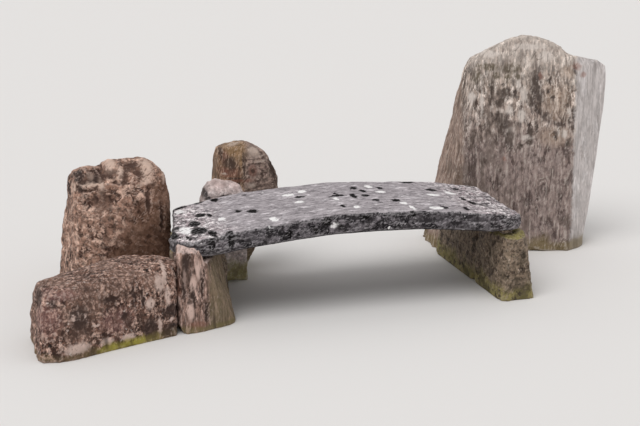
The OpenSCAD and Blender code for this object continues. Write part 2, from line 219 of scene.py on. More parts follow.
# %% [markdown]
# ## Effects that the stones share
# Each stone is a different rock, but all of them have the same kinds of marks: grains, patches of
# lichen, veins along the bedding, dust on the crests and moss at the foot. Each kind is a node group.
# A group is built once, and every material places it with its own sizes and colours.

# %% How a group starts
def start_group(name, inputs, outputs):
    """A new shader node group, with the sockets that it takes and gives."""
    tree = bpy.data.node_groups.new(name, "ShaderNodeTree")
    for label, kind, value in inputs:
        socket = tree.interface.new_socket(label, in_out="INPUT", socket_type="NodeSocket" + kind)
        if value is not None:
            socket.default_value = value
    for label, kind in outputs:
        tree.interface.new_socket(label, in_out="OUTPUT", socket_type="NodeSocket" + kind)
    return tree, tree.nodes.new("NodeGroupInput").outputs, tree.nodes.new("NodeGroupOutput").inputs


def use(tree, group, inputs):
    """Places a node group in a material and gives its outputs."""
    made = tree.nodes.new("ShaderNodeGroup")
    made.node_tree = group
    for name, value in inputs.items():
        fill(tree, made.inputs[name], value)
    return made.outputs


print("node groups can be made and placed")

# %% [markdown]
# A stain never has a smooth border. This group pushes a place about by a little noise, and whatever is
# then drawn at that place gets a ragged rim.

# %% Ragged places
def make_ragged():
    """Moves a place by noise, so that what is drawn there has a ragged rim."""
    inputs = [("Vector", "Vector", None), ("Scale", "Float", 30.0), ("Reach", "Float", 0.02)]
    tree, given, result = start_group("ragged place", inputs, [("Place", "Vector")])
    wobble = put(tree, "TexNoise", {"Vector": given["Vector"], "Scale": given["Scale"], "Detail": 4.0})
    middle = vector(tree, "SUBTRACT", wobble.outputs["Color"], (0.5, 0.5, 0.5))
    shift = put(tree, "VectorMath", {0: middle, "Scale": given["Reach"]}, operation="SCALE")
    fill(tree, result["Place"], vector(tree, "ADD", given["Vector"], shift.outputs[0]))
    return tree


RAGGED = make_ragged()


def frayed(tree, place, scale, reach):
    """A place pushed about by the ragged group."""
    return use(tree, RAGGED, {"Vector": place, "Scale": scale, "Reach": reach})["Place"]


print("made", RAGGED.name)

# %% [markdown]
# Lichen, a stain or a bruise covers one place of a known size. A rounded patch is enough for it: how
# far a point lies from the centre, measured in the patch's own half widths.

# %% Patches
def make_patch():
    """A mask that is 1 within a rounded patch and fades out over its rim."""
    inputs = [("Vector", "Vector", None), ("Centre", "Vector", None)]
    inputs += [("Half Widths", "Vector", (0.1, 0.1, 0.1)), ("Softness", "Float", 0.4)]
    tree, given, result = start_group("patch", inputs, [("Mask", "Float")])
    apart = vector(tree, "SUBTRACT", given["Vector"], given["Centre"])
    share = vector(tree, "DIVIDE", apart, given["Half Widths"])
    reach = put(tree, "VectorMath", {0: share}, operation="LENGTH").outputs["Value"]
    outer = reckon(tree, "ADD", 1.0, given["Softness"])
    inner = reckon(tree, "SUBTRACT", 1.0, given["Softness"])
    fill(tree, result["Mask"], between(tree, reach, outer, inner))
    return tree


PATCH = make_patch()
print("made", PATCH.name)

# %% [markdown]
# One face of a rock often has another colour than the next. This mask splits a stone at a plane: it is 0
# on one side and 1 on the side that the arrow points to.

# %% Sides
def make_side():
    """A mask that is 1 beyond a plane, with a soft border."""
    inputs = [("Vector", "Vector", None), ("Point", "Vector", None)]
    inputs += [("Arrow", "Vector", (1.0, 0.0, 0.0)), ("Softness", "Float", 0.02)]
    tree, given, result = start_group("side", inputs, [("Mask", "Float")])
    apart = vector(tree, "SUBTRACT", given["Vector"], given["Point"])
    along = put(tree, "VectorMath", {0: apart, 1: given["Arrow"]}, operation="DOT_PRODUCT")
    low = reckon(tree, "MULTIPLY", given["Softness"], -1.0)
    fill(tree, result["Mask"], between(tree, along.outputs["Value"], low, given["Softness"]))
    return tree


SIDE = make_side()


def beyond(tree, place, point, arrow, softness):
    """The mask of what lies beyond a plane through a point, on the side that the arrow points to."""
    inputs = {"Vector": place, "Point": point, "Arrow": arrow, "Softness": softness}
    return use(tree, SIDE, inputs)["Mask"]


print("made", SIDE.name)

# %% [markdown]
# Weathered rock is mottled at several scales at once: broad clouds of darker and paler mineral, flecks
# a few centimetres wide, and crystals of a few millimetres that break every colour up. Noise makes the
# clouds and flecks, and Voronoi cells with a random brightness each make the crystals.

# %% Mottled rock
CLOUD_ROUGHNESS = 0.68
CLOUD_SPREAD = 0.36
CLOUD_RIM = 0.07
ELSEWHERE = (3.1, 7.7, 5.3)
PALE_FINER = 1.7
FLECKS_FINER = 3.0


def make_mottle():
    """Three colours of rock in clouds, broken up by flecks and crystals."""
    inputs = [("Vector", "Vector", None), ("Scale", "Float", 14.0), ("Crystals", "Float", 110.0)]
    inputs += [("Dark Share", "Float", 0.3), ("Pale Share", "Float", 0.25), ("Contrast", "Float", 0.5)]
    inputs += [("Dark", "Color", rgb(0.05, 0.04, 0.03)), ("Body", "Color", rgb(0.2, 0.15, 0.12))]
    inputs += [("Pale", "Color", rgb(0.5, 0.4, 0.35))]
    tree, given, result = start_group("mottled rock", inputs, [("Color", "Color"), ("Height", "Float")])
    place, scale, contrast = given["Vector"], given["Scale"], given["Contrast"]
    warped = {"Vector": place, "Scale": scale, "Detail": 6.0, "Roughness": CLOUD_ROUGHNESS}
    dark_cloud = put(tree, "TexNoise", warped | {"Distortion": 0.5}).outputs["Fac"]
    elsewhere = put(tree, "Mapping", {"Vector": place, "Location": ELSEWHERE}).outputs[0]
    pale_scale = reckon(tree, "MULTIPLY", scale, PALE_FINER)
    pale_cloud = cloud(tree, elsewhere, pale_scale, 6.0, CLOUD_ROUGHNESS)
    dark_reach = reckon(tree, "MULTIPLY", given["Dark Share"], CLOUD_SPREAD)
    dark_edge = reckon(tree, "ADD", dark_reach, 0.5 - CLOUD_SPREAD / 2)
    dark = between(tree, dark_cloud, dark_edge, reckon(tree, "SUBTRACT", dark_edge, CLOUD_RIM))
    pale_reach = reckon(tree, "MULTIPLY", given["Pale Share"], CLOUD_SPREAD)
    pale_edge = reckon(tree, "SUBTRACT", 0.5 + CLOUD_SPREAD / 2, pale_reach)
    pale = between(tree, pale_cloud, pale_edge, reckon(tree, "ADD", pale_edge, CLOUD_RIM))
    coloured = tint(tree, dark, given["Body"], given["Dark"])
    coloured = tint(tree, pale, coloured, given["Pale"])
    cells = put(tree, "TexVoronoi", {"Vector": place, "Scale": given["Crystals"]})
    crystal = put(tree, "SeparateColor", {0: cells.outputs["Color"]}).outputs[0]
    fine = reckon(tree, "MULTIPLY", cloud(tree, place, given["Crystals"], 3.0), 0.8)
    speck = reckon(tree, "ADD", reckon(tree, "MULTIPLY", crystal, 0.6), fine)
    fleck_scale = reckon(tree, "MULTIPLY", scale, FLECKS_FINER)
    fleck = cloud(tree, elsewhere, fleck_scale, 2.0, CLOUD_ROUGHNESS)
    fleck = reckon(tree, "SUBTRACT", between(tree, fleck, 0.34, 0.66), 0.5)
    lift = reckon(tree, "ADD", reckon(tree, "SUBTRACT", speck, 0.7), fleck)
    lift = reckon(tree, "MULTIPLY", lift, contrast)
    bright = reckon(tree, "ADD", 1.0, reckon(tree, "MULTIPLY", lift, 1.5))
    grey = put(tree, "CombineColor", {0: bright, 1: bright, 2: bright}).outputs[0]
    lit = put(tree, "Mix", {0: 1.0, 6: coloured, 7: grey}, data_type="RGBA", blend_type="MULTIPLY")
    fill(tree, result["Color"], lit.outputs[2])
    rise = reckon(tree, "MULTIPLY", pale_cloud, 0.6)
    rise = reckon(tree, "ADD", rise, reckon(tree, "MULTIPLY", speck, 0.3))
    fill(tree, result["Height"], reckon(tree, "SUBTRACT", rise, reckon(tree, "MULTIPLY", dark, 0.15)))
    return tree


MOTTLE = make_mottle()


def mottled(tree, place, scale, crystals, shares, contrast, dark, body, pale):
    """Places the mottled rock: the shares are those of its dark and its pale clouds."""
    inputs = {"Vector": place, "Scale": scale, "Crystals": crystals, "Contrast": contrast}
    inputs |= {"Dark Share": shares[0], "Pale Share": shares[1]}
    return use(tree, MOTTLE, inputs | {"Dark": dark, "Body": body, "Pale": pale})


print("made", MOTTLE.name)

# %% [markdown]
# Lichen also comes as a scatter of small round spots. A Voronoi cell each gives a spot its place, and the
# cell's random colour decides whether there is a spot at all and how large it is.

# %% Spots
def make_spots():
    """A scatter of small spots, one in some of the cells."""
    inputs = [("Vector", "Vector", None), ("Scale", "Float", 20.0)]
    inputs += [("Share", "Float", 0.3), ("Size", "Float", 0.35)]
    tree, given, result = start_group("spots", inputs, [("Mask", "Float")])
    cells = put(tree, "TexVoronoi", {"Vector": given["Vector"], "Scale": given["Scale"]})
    chance = put(tree, "SeparateColor", {0: cells.outputs["Color"]}).outputs
    there = reckon(tree, "LESS_THAN", chance[0], given["Share"])
    radius = reckon(tree, "MULTIPLY", given["Size"], reckon(tree, "ADD", 0.45, chance[1]))
    inner = reckon(tree, "MULTIPLY", radius, 0.62)
    disc = between(tree, cells.outputs["Distance"], radius, inner)
    fill(tree, result["Mask"], reckon(tree, "MULTIPLY", disc, there))
    return tree


SPOTS = make_spots()


def spotted(tree, place, scale, share, size):
    """The mask of a scatter of spots."""
    return use(tree, SPOTS, {"Vector": place, "Scale": scale, "Share": share, "Size": size})["Mask"]


print("made", SPOTS.name)

# %% [markdown]
# Rock splits and weathers along its bedding, and rain runs down a face. Both leave thin lines in one
# direction. Noise does it when the place is stretched: small numbers along the line, large ones across.

# %% Streaks
def make_streaks():
    """Lines in one direction, from noise on a stretched place."""
    inputs = [("Vector", "Vector", None), ("Stretch", "Vector", (4.0, 40.0, 40.0))]
    inputs += [("Low", "Float", 0.5), ("High", "Float", 0.7)]
    tree, given, result = start_group("streaks", inputs, [("Mask", "Float"), ("Value", "Float")])
    lines = cloud(tree, vector(tree, "MULTIPLY", given["Vector"], given["Stretch"]), 1.0, 5.0, 0.62)
    fill(tree, result["Mask"], between(tree, lines, given["Low"], given["High"]))
    fill(tree, result["Value"], lines)
    return tree


STREAKS = make_streaks()


def streaked(tree, place, stretch, low, high):
    """The mask and the value of the streaks."""
    return use(tree, STREAKS, {"Vector": place, "Stretch": stretch, "Low": low, "High": high})


print("made", STREAKS.name)

# %% [markdown]
# Rain and feet clean the crests of a stone, and dirt stays in its hollows. The dense meshes made below
# carry two values at each point: relief, how far it stands out, and crest, how sharp it is there.

# %% Weathering
WORN_CRESTS = (0.55, 0.95)
LOW_PLACES = (0.42, 0.1)
CREASES = (0.42, 0.12)
CLEAN_ROUGHNESS = 0.80
DIRT_ROUGHER = 0.12


def make_weathering():
    """Lightens crests and darkens hollows."""
    inputs = [("Color", "Color", None), ("Relief", "Float", 0.5), ("Crest", "Float", 0.5)]
    inputs += [("Dust", "Color", rgb(0.5, 0.45, 0.42)), ("Dirt", "Color", rgb(0.05, 0.04, 0.03))]
    inputs += [("Wear", "Float", 0.5), ("Grime", "Float", 0.5)]
    tree, given, result = start_group("weathering", inputs, [("Color", "Color"), ("Roughness", "Float")])
    worn = reckon(tree, "MULTIPLY", between(tree, given["Crest"], *WORN_CRESTS), given["Wear"])
    low = between(tree, given["Relief"], *LOW_PLACES)
    creased = between(tree, given["Crest"], *CREASES)
    dirty = reckon(tree, "MULTIPLY", reckon(tree, "MAXIMUM", low, creased), given["Grime"])
    coloured = tint(tree, worn, given["Color"], given["Dust"])
    fill(tree, result["Color"], tint(tree, dirty, coloured, given["Dirt"]))
    rougher = reckon(tree, "MULTIPLY", dirty, DIRT_ROUGHER)
    fill(tree, result["Roughness"], reckon(tree, "ADD", CLEAN_ROUGHNESS, rougher))
    return tree


WEATHERING = make_weathering()
print("made", WEATHERING.name)

# %% [markdown]
# A stone that stands outdoors stays damp at its foot, and a green and black film creeps up from there.
# It reaches higher in some places than in others, so its height is varied by noise.

# %% Moss at the foot
def make_foot_moss():
    """A mask of moss that creeps up from a stone's foot, which lies at height 0."""
    inputs = [("Vector", "Vector", None), ("Reach", "Float", 0.08), ("Scale", "Float", 9.0)]
    tree, given, result = start_group("foot moss", inputs, [("Mask", "Float")])
    height = put(tree, "SeparateXYZ", {0: given["Vector"]}).outputs[2]
    uneven = reckon(tree, "MULTIPLY", cloud(tree, given["Vector"], given["Scale"], 5.0), 2.0)
    top = reckon(tree, "MULTIPLY", given["Reach"], uneven)
    fill(tree, result["Mask"], between(tree, height, top, reckon(tree, "MULTIPLY", top, 0.35)))
    return tree


FOOT_MOSS = make_foot_moss()


def moss_at_foot(tree, place, reach, scale=9.0):
    """The mask of moss that reaches about this high."""
    return use(tree, FOOT_MOSS, {"Vector": place, "Reach": reach, "Scale": scale})["Mask"]


print("made", FOOT_MOSS.name)

# %% [markdown]
# ## From a plain solid to a weathered stone
# A dense even mesh is needed before a surface can be weathered. The Remesh modifier in voxel mode wraps
# a solid in small quads of one size, and a few passes of smoothing take the sharpness off its arrises.
# Then each point is moved along its normal by a sum of layers. The layers are noises of different size:
# lumps, cracks between split faces, and beds or flutes along the rock's grain.
# Subdivision would give a mesh of uneven density on such faceted solids, so voxels are the better start.

# %% A dense copy of a solid
def dense_copy(name, node, cell, rounding):
    """A copy of a solid as an even mesh of small quads, with its arrises rounded."""
    draft = bpy.data.objects.new(name, CAD_NODES[node].data.copy())
    bpy.context.scene.collection.objects.link(draft)
    wrap = draft.modifiers.new("even mesh", "REMESH")
    wrap.mode = "VOXEL"
    wrap.voxel_size = cell
    worn = draft.modifiers.new("worn arrises", "SMOOTH")
    worn.factor = 0.5
    worn.iterations = rounding
    bpy.context.view_layer.update()
    shaped = draft.evaluated_get(bpy.context.evaluated_depsgraph_get())
    mesh = bpy.data.meshes.new_from_object(shaped)
    bpy.data.objects.remove(draft)
    piece = bpy.data.objects.new(name, mesh)
    bpy.context.scene.collection.objects.link(piece)
    mesh.materials.clear()
    mesh.polygons.foreach_set("use_smooth", np.ones(len(mesh.polygons), bool))
    return piece


def point_rows(mesh, wanted):
    """The places ("co") or directions ("normal") of a mesh's points, as rows of x, y and z."""
    flat = np.empty(len(mesh.vertices) * 3)
    mesh.vertices.foreach_get(wanted, flat)
    return flat.reshape(-1, 3)


def smooth_step(value, low, high):
    """A soft step from 0 at low to 1 at high, for a number or an array."""
    share = np.clip((value - low) / (high - low), 0.0, 1.0)
    return share * share * (3.0 - 2.0 * share)


print("solids can be copied")

# %% [markdown]
# The layers of relief. Each takes all points at once and gives a height from about -1 to 1, which a
# stone then multiplies by its own millimetres. Lumps are plain fractal noise. Cracks are sunk along a
# noise's zero line. Ledges are steps between split faces. Beds are waves across one direction that
# lumps push out of line, which is how layered rock looks where it is broken.

# %% Layers of relief
MM = 0.001
LUMP_FALL = 0.9
LUMP_STEP = 2.1


def lumps(points, scale, octaves=4):
    """Rounded unevenness, with about scale lumps to a metre, or as many as it says for x, y and z."""
    rows = (points * np.array(scale)).tolist()
    return np.array([noise.fractal(row, LUMP_FALL, LUMP_STEP, octaves) for row in rows])


def cracks(points, scale, width):
    """Sunken lines that wander and end, as splits in a rock do."""
    line = np.abs(lumps(points, scale, 3))
    open_share = smooth_step(lumps(points + 5.3, 6.0, 2), -0.1, 0.3)
    return (smooth_step(line, 0.0, width) - 1.0) * open_share


def ledges(points, grain, count, seed, ragged=0.03, edge=0.004):
    """Split faces at different levels, parted by ragged steps that mostly run across the grain."""
    chance = np.random.default_rng(seed)
    offset = points - (points.min(0) + points.max(0)) / 2
    reach = np.abs(offset).max(0)
    level = np.zeros(len(points))
    for _ in range(count):
        arrow = chance.normal(size=3) * np.array(grain)
        arrow /= np.linalg.norm(arrow)
        start = chance.uniform(-0.8, 0.8) * np.abs(arrow) @ reach
        bend = ragged * lumps(points + chance.uniform(-9.0, 9.0, 3), 9.0, 4)
        past = smooth_step(offset @ arrow + bend - start, -edge, edge)
        level += (past - 0.5) * chance.choice((-1.0, 1.0)) * chance.uniform(0.5, 1.0)
    return level / math.sqrt(count)


def beds(points, across, per_metre, bend):
    """Layers across a direction, bent by slow lumps."""
    level = points @ np.array(across) * per_metre + bend * lumps(points, 3.0, 2)
    return np.sin(level * 2.0 * math.pi)


print("relief layers ready")

# %% [markdown]
# The two values for the weathering group are stored with the mesh as attributes. Crest compares each
# point with the middle of its neighbours: a point that stands out of them is on an edge.

# %% Moving the points
FOOT_FADE = 0.035
CALM_AT_FOOT = 0.75
CALM_BELOW = 0.7
LOOKS_DOWN = (0.5, 0.95)


def neighbour_middles(mesh, points):
    """The middle of each point's neighbours."""
    ends = np.empty(len(mesh.edges) * 2, np.int64)
    mesh.edges.foreach_get("vertices", ends)
    first, second = ends.reshape(-1, 2).T
    total = np.zeros_like(points)
    count = np.zeros(len(points))
    for here, there in ((first, second), (second, first)):
        np.add.at(total, here, points[there])
        np.add.at(count, here, 1.0)
    return total / count[:, None]


def store(mesh, name, values):
    """Keeps one value for each point, for the shader nodes to read."""
    attribute = mesh.attributes.new(name, "FLOAT", "POINT")
    attribute.data.foreach_set("value", values.astype(np.float32))


def weather(piece, relief_of, proud=0.25, on_ground=True):
    """Moves a piece's points by its relief, mostly inwards, and stores relief and crest."""
    mesh = piece.data
    points = point_rows(mesh, "co")
    normals = point_rows(mesh, "normal")
    relief = relief_of(points, normals)
    low, high = np.percentile(relief, (1, 99))
    depth = relief - (low + (high - low) * (1.0 - proud))
    depth *= 1.0 - CALM_BELOW * smooth_step(-normals[:, 2], *LOOKS_DOWN)
    if on_ground:
        depth *= 1.0 - CALM_AT_FOOT * smooth_step(points[:, 2], FOOT_FADE, 0.0)
    moved = points + normals * depth[:, None]
    if on_ground:
        moved[:, 2] = np.maximum(moved[:, 2], 0.0)
    mesh.vertices.foreach_set("co", moved.ravel())
    mesh.update()
    middles = neighbour_middles(mesh, moved)
    sharp = ((moved - middles) * point_rows(mesh, "normal")).sum(1)
    spread = np.percentile(np.abs(sharp), 96)
    store(mesh, "relief", np.clip((relief - low) / (high - low), 0.0, 1.0))
    store(mesh, "crest", np.clip(0.5 + 0.5 * sharp / spread, 0.0, 1.0))
    print(piece.name, len(mesh.polygons), "quads, relief", round((high - low) / MM, 1), "mm")


def set_in_place(piece, node, material):
    """Gives a piece its material and lets it stand for its solid."""
    piece.data.materials.append(material)
    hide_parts(node)
    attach(piece, "root")
    print(piece.name, "stands for", node)


print("stones can be weathered")

# %% [markdown]
# ## Marks where the photo shows them
# A mark is given by the photo's pixel and by its width and height there. The ray through the pixel
# meets the solid, and the mark gets its centre on the stone. On a level face the photo sees a depth
# foreshortened, so the mark's height is stretched back by the slope of the view.
# The same marks serve twice: marks makes a mask for a colour, and pressed gives the mesh's points a
# share, so that a hollow is sunk or a knob raised where the photo shows it. Drawing them on an unwrapped
# picture would work too, but then the places could not be read in the code.

# %% Marks
BRIDGE_DISTANCE = 9.2
PIXEL = BRIDGE_DISTANCE / PHOTO_FOCAL
VIEW_DROP = 0.26
LEVEL_FROM = 0.6
MARK_DEPTH = 0.06
PATCH_WOBBLE = 0.016


def seen_at(node, column, row):
    """The point and normal of a solid that the photo shows at a pixel."""
    solid = CAD_NODES[node]
    ray = photo_ray(column, row)
    hit, place, normal, _ = solid.ray_cast(EYE, ray)
    if not hit:
        middle = (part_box(node)[0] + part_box(node)[1]) / 2
        nearest = EYE + ray * (middle - EYE).dot(ray)
        _, place, normal, _ = solid.closest_point_on_mesh(nearest)
    return place, normal


def patch_on(node, column, row, wide, tall):
    """The centre and half widths of a patch that the photo shows at a pixel, sized in its pixels."""
    centre, normal = seen_at(node, column, row)
    half_wide = wide * PIXEL / 2
    half_tall = tall * PIXEL / 2
    if normal.z > LEVEL_FROM:
        return centre, (half_wide, half_tall / VIEW_DROP, MARK_DEPTH)
    return centre, (half_wide, MARK_DEPTH + half_wide, half_tall)


def marks(tree, place, node, spots, softness=0.35, size=1.0):
    """Several patches in one mask, each given by its pixel's column and row and its width and height."""
    whole = 0.0
    for column, row, wide, tall in spots:
        centre, widths = patch_on(node, column, row, wide * size, tall * size)
        inputs = {"Vector": place, "Centre": centre, "Half Widths": widths, "Softness": softness}
        whole = reckon(tree, "MAXIMUM", use(tree, PATCH, inputs)["Mask"], whole)
    return whole


def stained(tree, colour, place, node, stains):
    """Lays stains over a colour, each with its marks, colour, softness, strength and size."""
    for spots, over, softness, strength, size in stains:
        colour = tint(tree, marks(tree, place, node, spots, softness, size), colour, over, strength)
    return colour


def pressed(points, node, spots, softness=0.7, size=1.1):
    """The same patches for a mesh's points, to sink a hollow or raise a knob there."""
    wobble = np.stack([lumps(points + shift, 30.0, 3) for shift in (0.0, 7.7, 15.4)], 1)
    moved = points + PATCH_WOBBLE * wobble
    whole = np.zeros(len(points))
    for column, row, wide, tall in spots:
        centre, widths = patch_on(node, column, row, wide * size, tall * size)
        reach = np.linalg.norm((moved - np.array(centre)) / np.array(widths), axis=1)
        whole = np.maximum(whole, smooth_step(reach, 1.0 + softness, 1.0 - softness))
    return whole


print("a pixel of the photo is", round(PIXEL / MM, 1), "mm on the bridge")

# %% [markdown]
# ## How a stone material starts and ends
# Every material reads the place on the stone, the two stored values and the direction of the face, and
# ends in one Principled shader. Stone hardly shines, so its specular level is low.
# Grain finer than the mesh is left to a Bump node.

# %% Material frame
STONE_SHINE = 0.28
GRAIN_SCALE = 160.0
GRAIN_SHARE = 0.5
BUMP_STRENGTH = 0.55
BUMP_DEPTH = 0.006


def start_stone(name, shine=STONE_SHINE):
    """A new material with the values that every stone reads."""
    material = bpy.data.materials.new(name)
    material.use_nodes = True
    tree = material.node_tree
    surface = tree.nodes["Principled BSDF"].inputs
    surface["Specular IOR Level"].default_value = shine
    read = {"place": put(tree, "TexCoord").outputs["Object"]}
    for stored in ("relief", "crest"):
        read[stored] = put(tree, "Attribute", attribute_name=stored).outputs["Fac"]
    facing = put(tree, "SeparateXYZ", {0: put(tree, "NewGeometry").outputs["True Normal"]})
    read["up"] = facing.outputs[2]
    return material, tree, surface, read


def end_stone(tree, surface, read, colour, height, look):
    """Adds crests, dirt, roughness and fine grain, and feeds the shader."""
    inputs = {"Color": colour, "Relief": read["relief"], "Crest": read["crest"]}
    aged = use(tree, WEATHERING, inputs | look)
    fill(tree, surface["Base Color"], aged["Color"])
    fill(tree, surface["Roughness"], aged["Roughness"])
    fine = cloud(tree, read["place"], GRAIN_SCALE, 5.0, 0.7)
    total = reckon(tree, "ADD", height, reckon(tree, "MULTIPLY", fine, GRAIN_SHARE))
    bump = put(tree, "Bump", {"Height": total, "Strength": BUMP_STRENGTH, "Distance": BUMP_DEPTH})
    fill(tree, surface["Normal"], bump.outputs[0])


print("stone materials can be made")

# %% [markdown]
# ## The arched slab
# The slab is a blue-grey stone with a fine grain along its length. Its top is pale and rubbed smooth in
# the middle, and its two ends are coarse and mottled in black and white. Its long edges are painted dark
# as shade, as the light comes from above, and nearly black under the arris and on the faces that look down.
# White and black lichen sits on it in small flat spots, and thin black lines along its far edge are painted
# shade.
# The faces are told apart by how far they look upwards, and the ends by their distance from the middle.

# %% Slab shape
LEFT_ROUGH_FADE = (SLAB_LOW.x + 0.36, SLAB_LOW.x + 0.10)
RIGHT_ROUGH_FADE = (SLAB_HIGH.x - 0.30, SLAB_HIGH.x - 0.06)


def end_share(points):
    """0 over the slab's middle, rising to 1 at its two ends."""
    left = smooth_step(points[:, 0], *LEFT_ROUGH_FADE)
    right = smooth_step(points[:, 0], *RIGHT_ROUGH_FADE)
    return np.maximum(left, right)


def slab_relief(points, normals):
    """A fine lengthwise grain on top, split flakes on the edges and rough ends."""
    side = smooth_step(np.abs(normals[:, 2]), 0.75, 0.3)
    grain = lumps(points, (5.0, 26.0, 26.0))
    waves = lumps(points, (2.2, 6.0, 6.0), 2)
    flakes = lumps(points, (14.0, 30.0, 34.0), 5)
    broken = ledges(points, (1.0, 0.5, 0.3), 34, 3, 0.04)
    pits = np.minimum(lumps(points, 42.0, 3), 0.0)
    height = 1.8 * grain + 3.0 * waves + 2.0 * pits
    height += side * (3.8 * flakes + 4.0 * broken)
    return MM * (height + end_share(points) * (5.0 * flakes + 4.0 * broken))


slab = dense_copy("arched_slab", SLAB, 0.0065, 2)
weather(slab, slab_relief, proud=0.6, on_ground=False)

# %% Slab finish
SLAB_SHINE = 0.08
TOP_FACES = (0.68, 0.86)
# The next three limits pick the faces that get painted shade: the arris faces and the faces that look down.
SHADE_UNDER_ARRIS = (0.92, 0.60)
ABOVE_UPRIGHT = (0.10, 0.35)
SHADED_UNDERSIDE = (-0.15, -0.50)
LEFT_MOTTLED_FROM = (SLAB_LOW.x + 0.26, 0, 0)
RIGHT_MOTTLED_FROM = (SLAB_HIGH.x - 0.27, 0, 0)
SLAB_WHITE = [
    (291, 225.3, 4.0, 0.8), (297, 223.7, 3.2, 0.9), (296, 228.3, 3.6, 0.8), (312, 226.8, 2.0, 1.0),
    (326, 221.6, 2.6, 1.0), (331.6, 223.8, 3.4, 0.9), (321, 230.4, 2.2, 0.8), (341.5, 228.6, 3.0, 0.9),
    (345.4, 230.4, 1.6, 1.6), (311.6, 238.4, 2.6, 2.6), (335.4, 239.3, 1.4, 0.9), (243, 233, 3.4, 1.3),
    (246, 241.2, 3.8, 2.6), (239.4, 241.4, 2.0, 0.8), (285, 236, 2.6, 1.4), (354.5, 225, 5.0, 0.8),
    (361.6, 224, 4.0, 1.1), (356, 230.6, 5.0, 0.9), (262, 236, 2.4, 1.0)
]
# Black lichen spots, and thin wide marks along the far edge that are painted shade.
SLAB_BLACK_LICHEN_AND_EDGE_SHADE = [
    (252.4, 234.4, 3.6, 1.1), (256.6, 234.4, 1.5, 1.1), (249.8, 238.2, 3.4, 2.2), (252, 241.4, 5.6, 2.2),
    (258, 242.6, 2.4, 2.0), (258.9, 227.7, 2.6, 1.2), (247.4, 244.4, 1.4, 1.4), (241.9, 240.4, 2.8, 1.2),
    (240.6, 243.4, 2.6, 3.0), (243.6, 231.2, 4.6, 0.7), (251, 229, 5.0, 0.8), (275.5, 232.6, 3.6, 1.2),
    (269, 232.6, 2.2, 1.0), (266, 243, 2.6, 1.6), (319.3, 222.2, 2.4, 1.0), (323.7, 223.4, 2.2, 1.2),
    (319.6, 225.6, 2.2, 1.6), (329.2, 227.4, 2.2, 0.9), (331, 222.1, 2.4, 0.9), (311.5, 224.6, 1.4, 0.8),
    (315, 230, 1.6, 0.9), (338.4, 227.5, 3.0, 0.7), (296, 220.6, 4.4, 0.5), (312, 218.9, 5.0, 0.6),
    (325, 218.3, 3.0, 0.6), (342.8, 219.4, 5.0, 0.7), (308, 236.4, 4.0, 2.6), (325, 234.6, 3.4, 1.6),
    (314.6, 239.2, 3.4, 1.6), (303.6, 240.8, 1.8, 2.0), (291.8, 242.4, 2.2, 3.0), (345.6, 233.6, 2.6, 2.0),
    (371.4, 228.2, 2.6, 1.4), (369, 230.8, 2.2, 1.2), (367.4, 226.6, 1.2, 1.4), (359.5, 230.3, 2.2, 1.0),
    (353.4, 222.8, 4.2, 1.0), (364.4, 222.4, 2.4, 0.8), (257.6, 247.4, 2.6, 3.4)
]


def slab_faces_and_painted_shade(tree, read, top, side, ends, at_end):
    """Pale upward faces, and sides painted dark as shade, darkest under the arris and on the faces that
    look down.
    """
    wander = reckon(tree, "MULTIPLY", reckon(tree, "SUBTRACT", side["Height"], 0.45), 0.5)
    upward = between(tree, reckon(tree, "ADD", read["up"], wander), *TOP_FACES)
    under_arris = between(tree, read["up"], *SHADE_UNDER_ARRIS)
    painted_shade_rim = reckon(tree, "MULTIPLY", under_arris, between(tree, read["up"], *ABOVE_UPRIGHT))
    painted_shade_rim = reckon(tree, "MAXIMUM", painted_shade_rim, between(tree, read["up"], *SHADED_UNDERSIDE))
    # Painted shade: the arris faces and the faces that look down are darkened nearly to black.
    edge = tint(tree, painted_shade_rim, side["Color"], rgb(0.025, 0.022, 0.024), 0.75)
    edge = tint(tree, at_end, edge, ends["Color"], 0.08)
    return tint(tree, upward, edge, top)


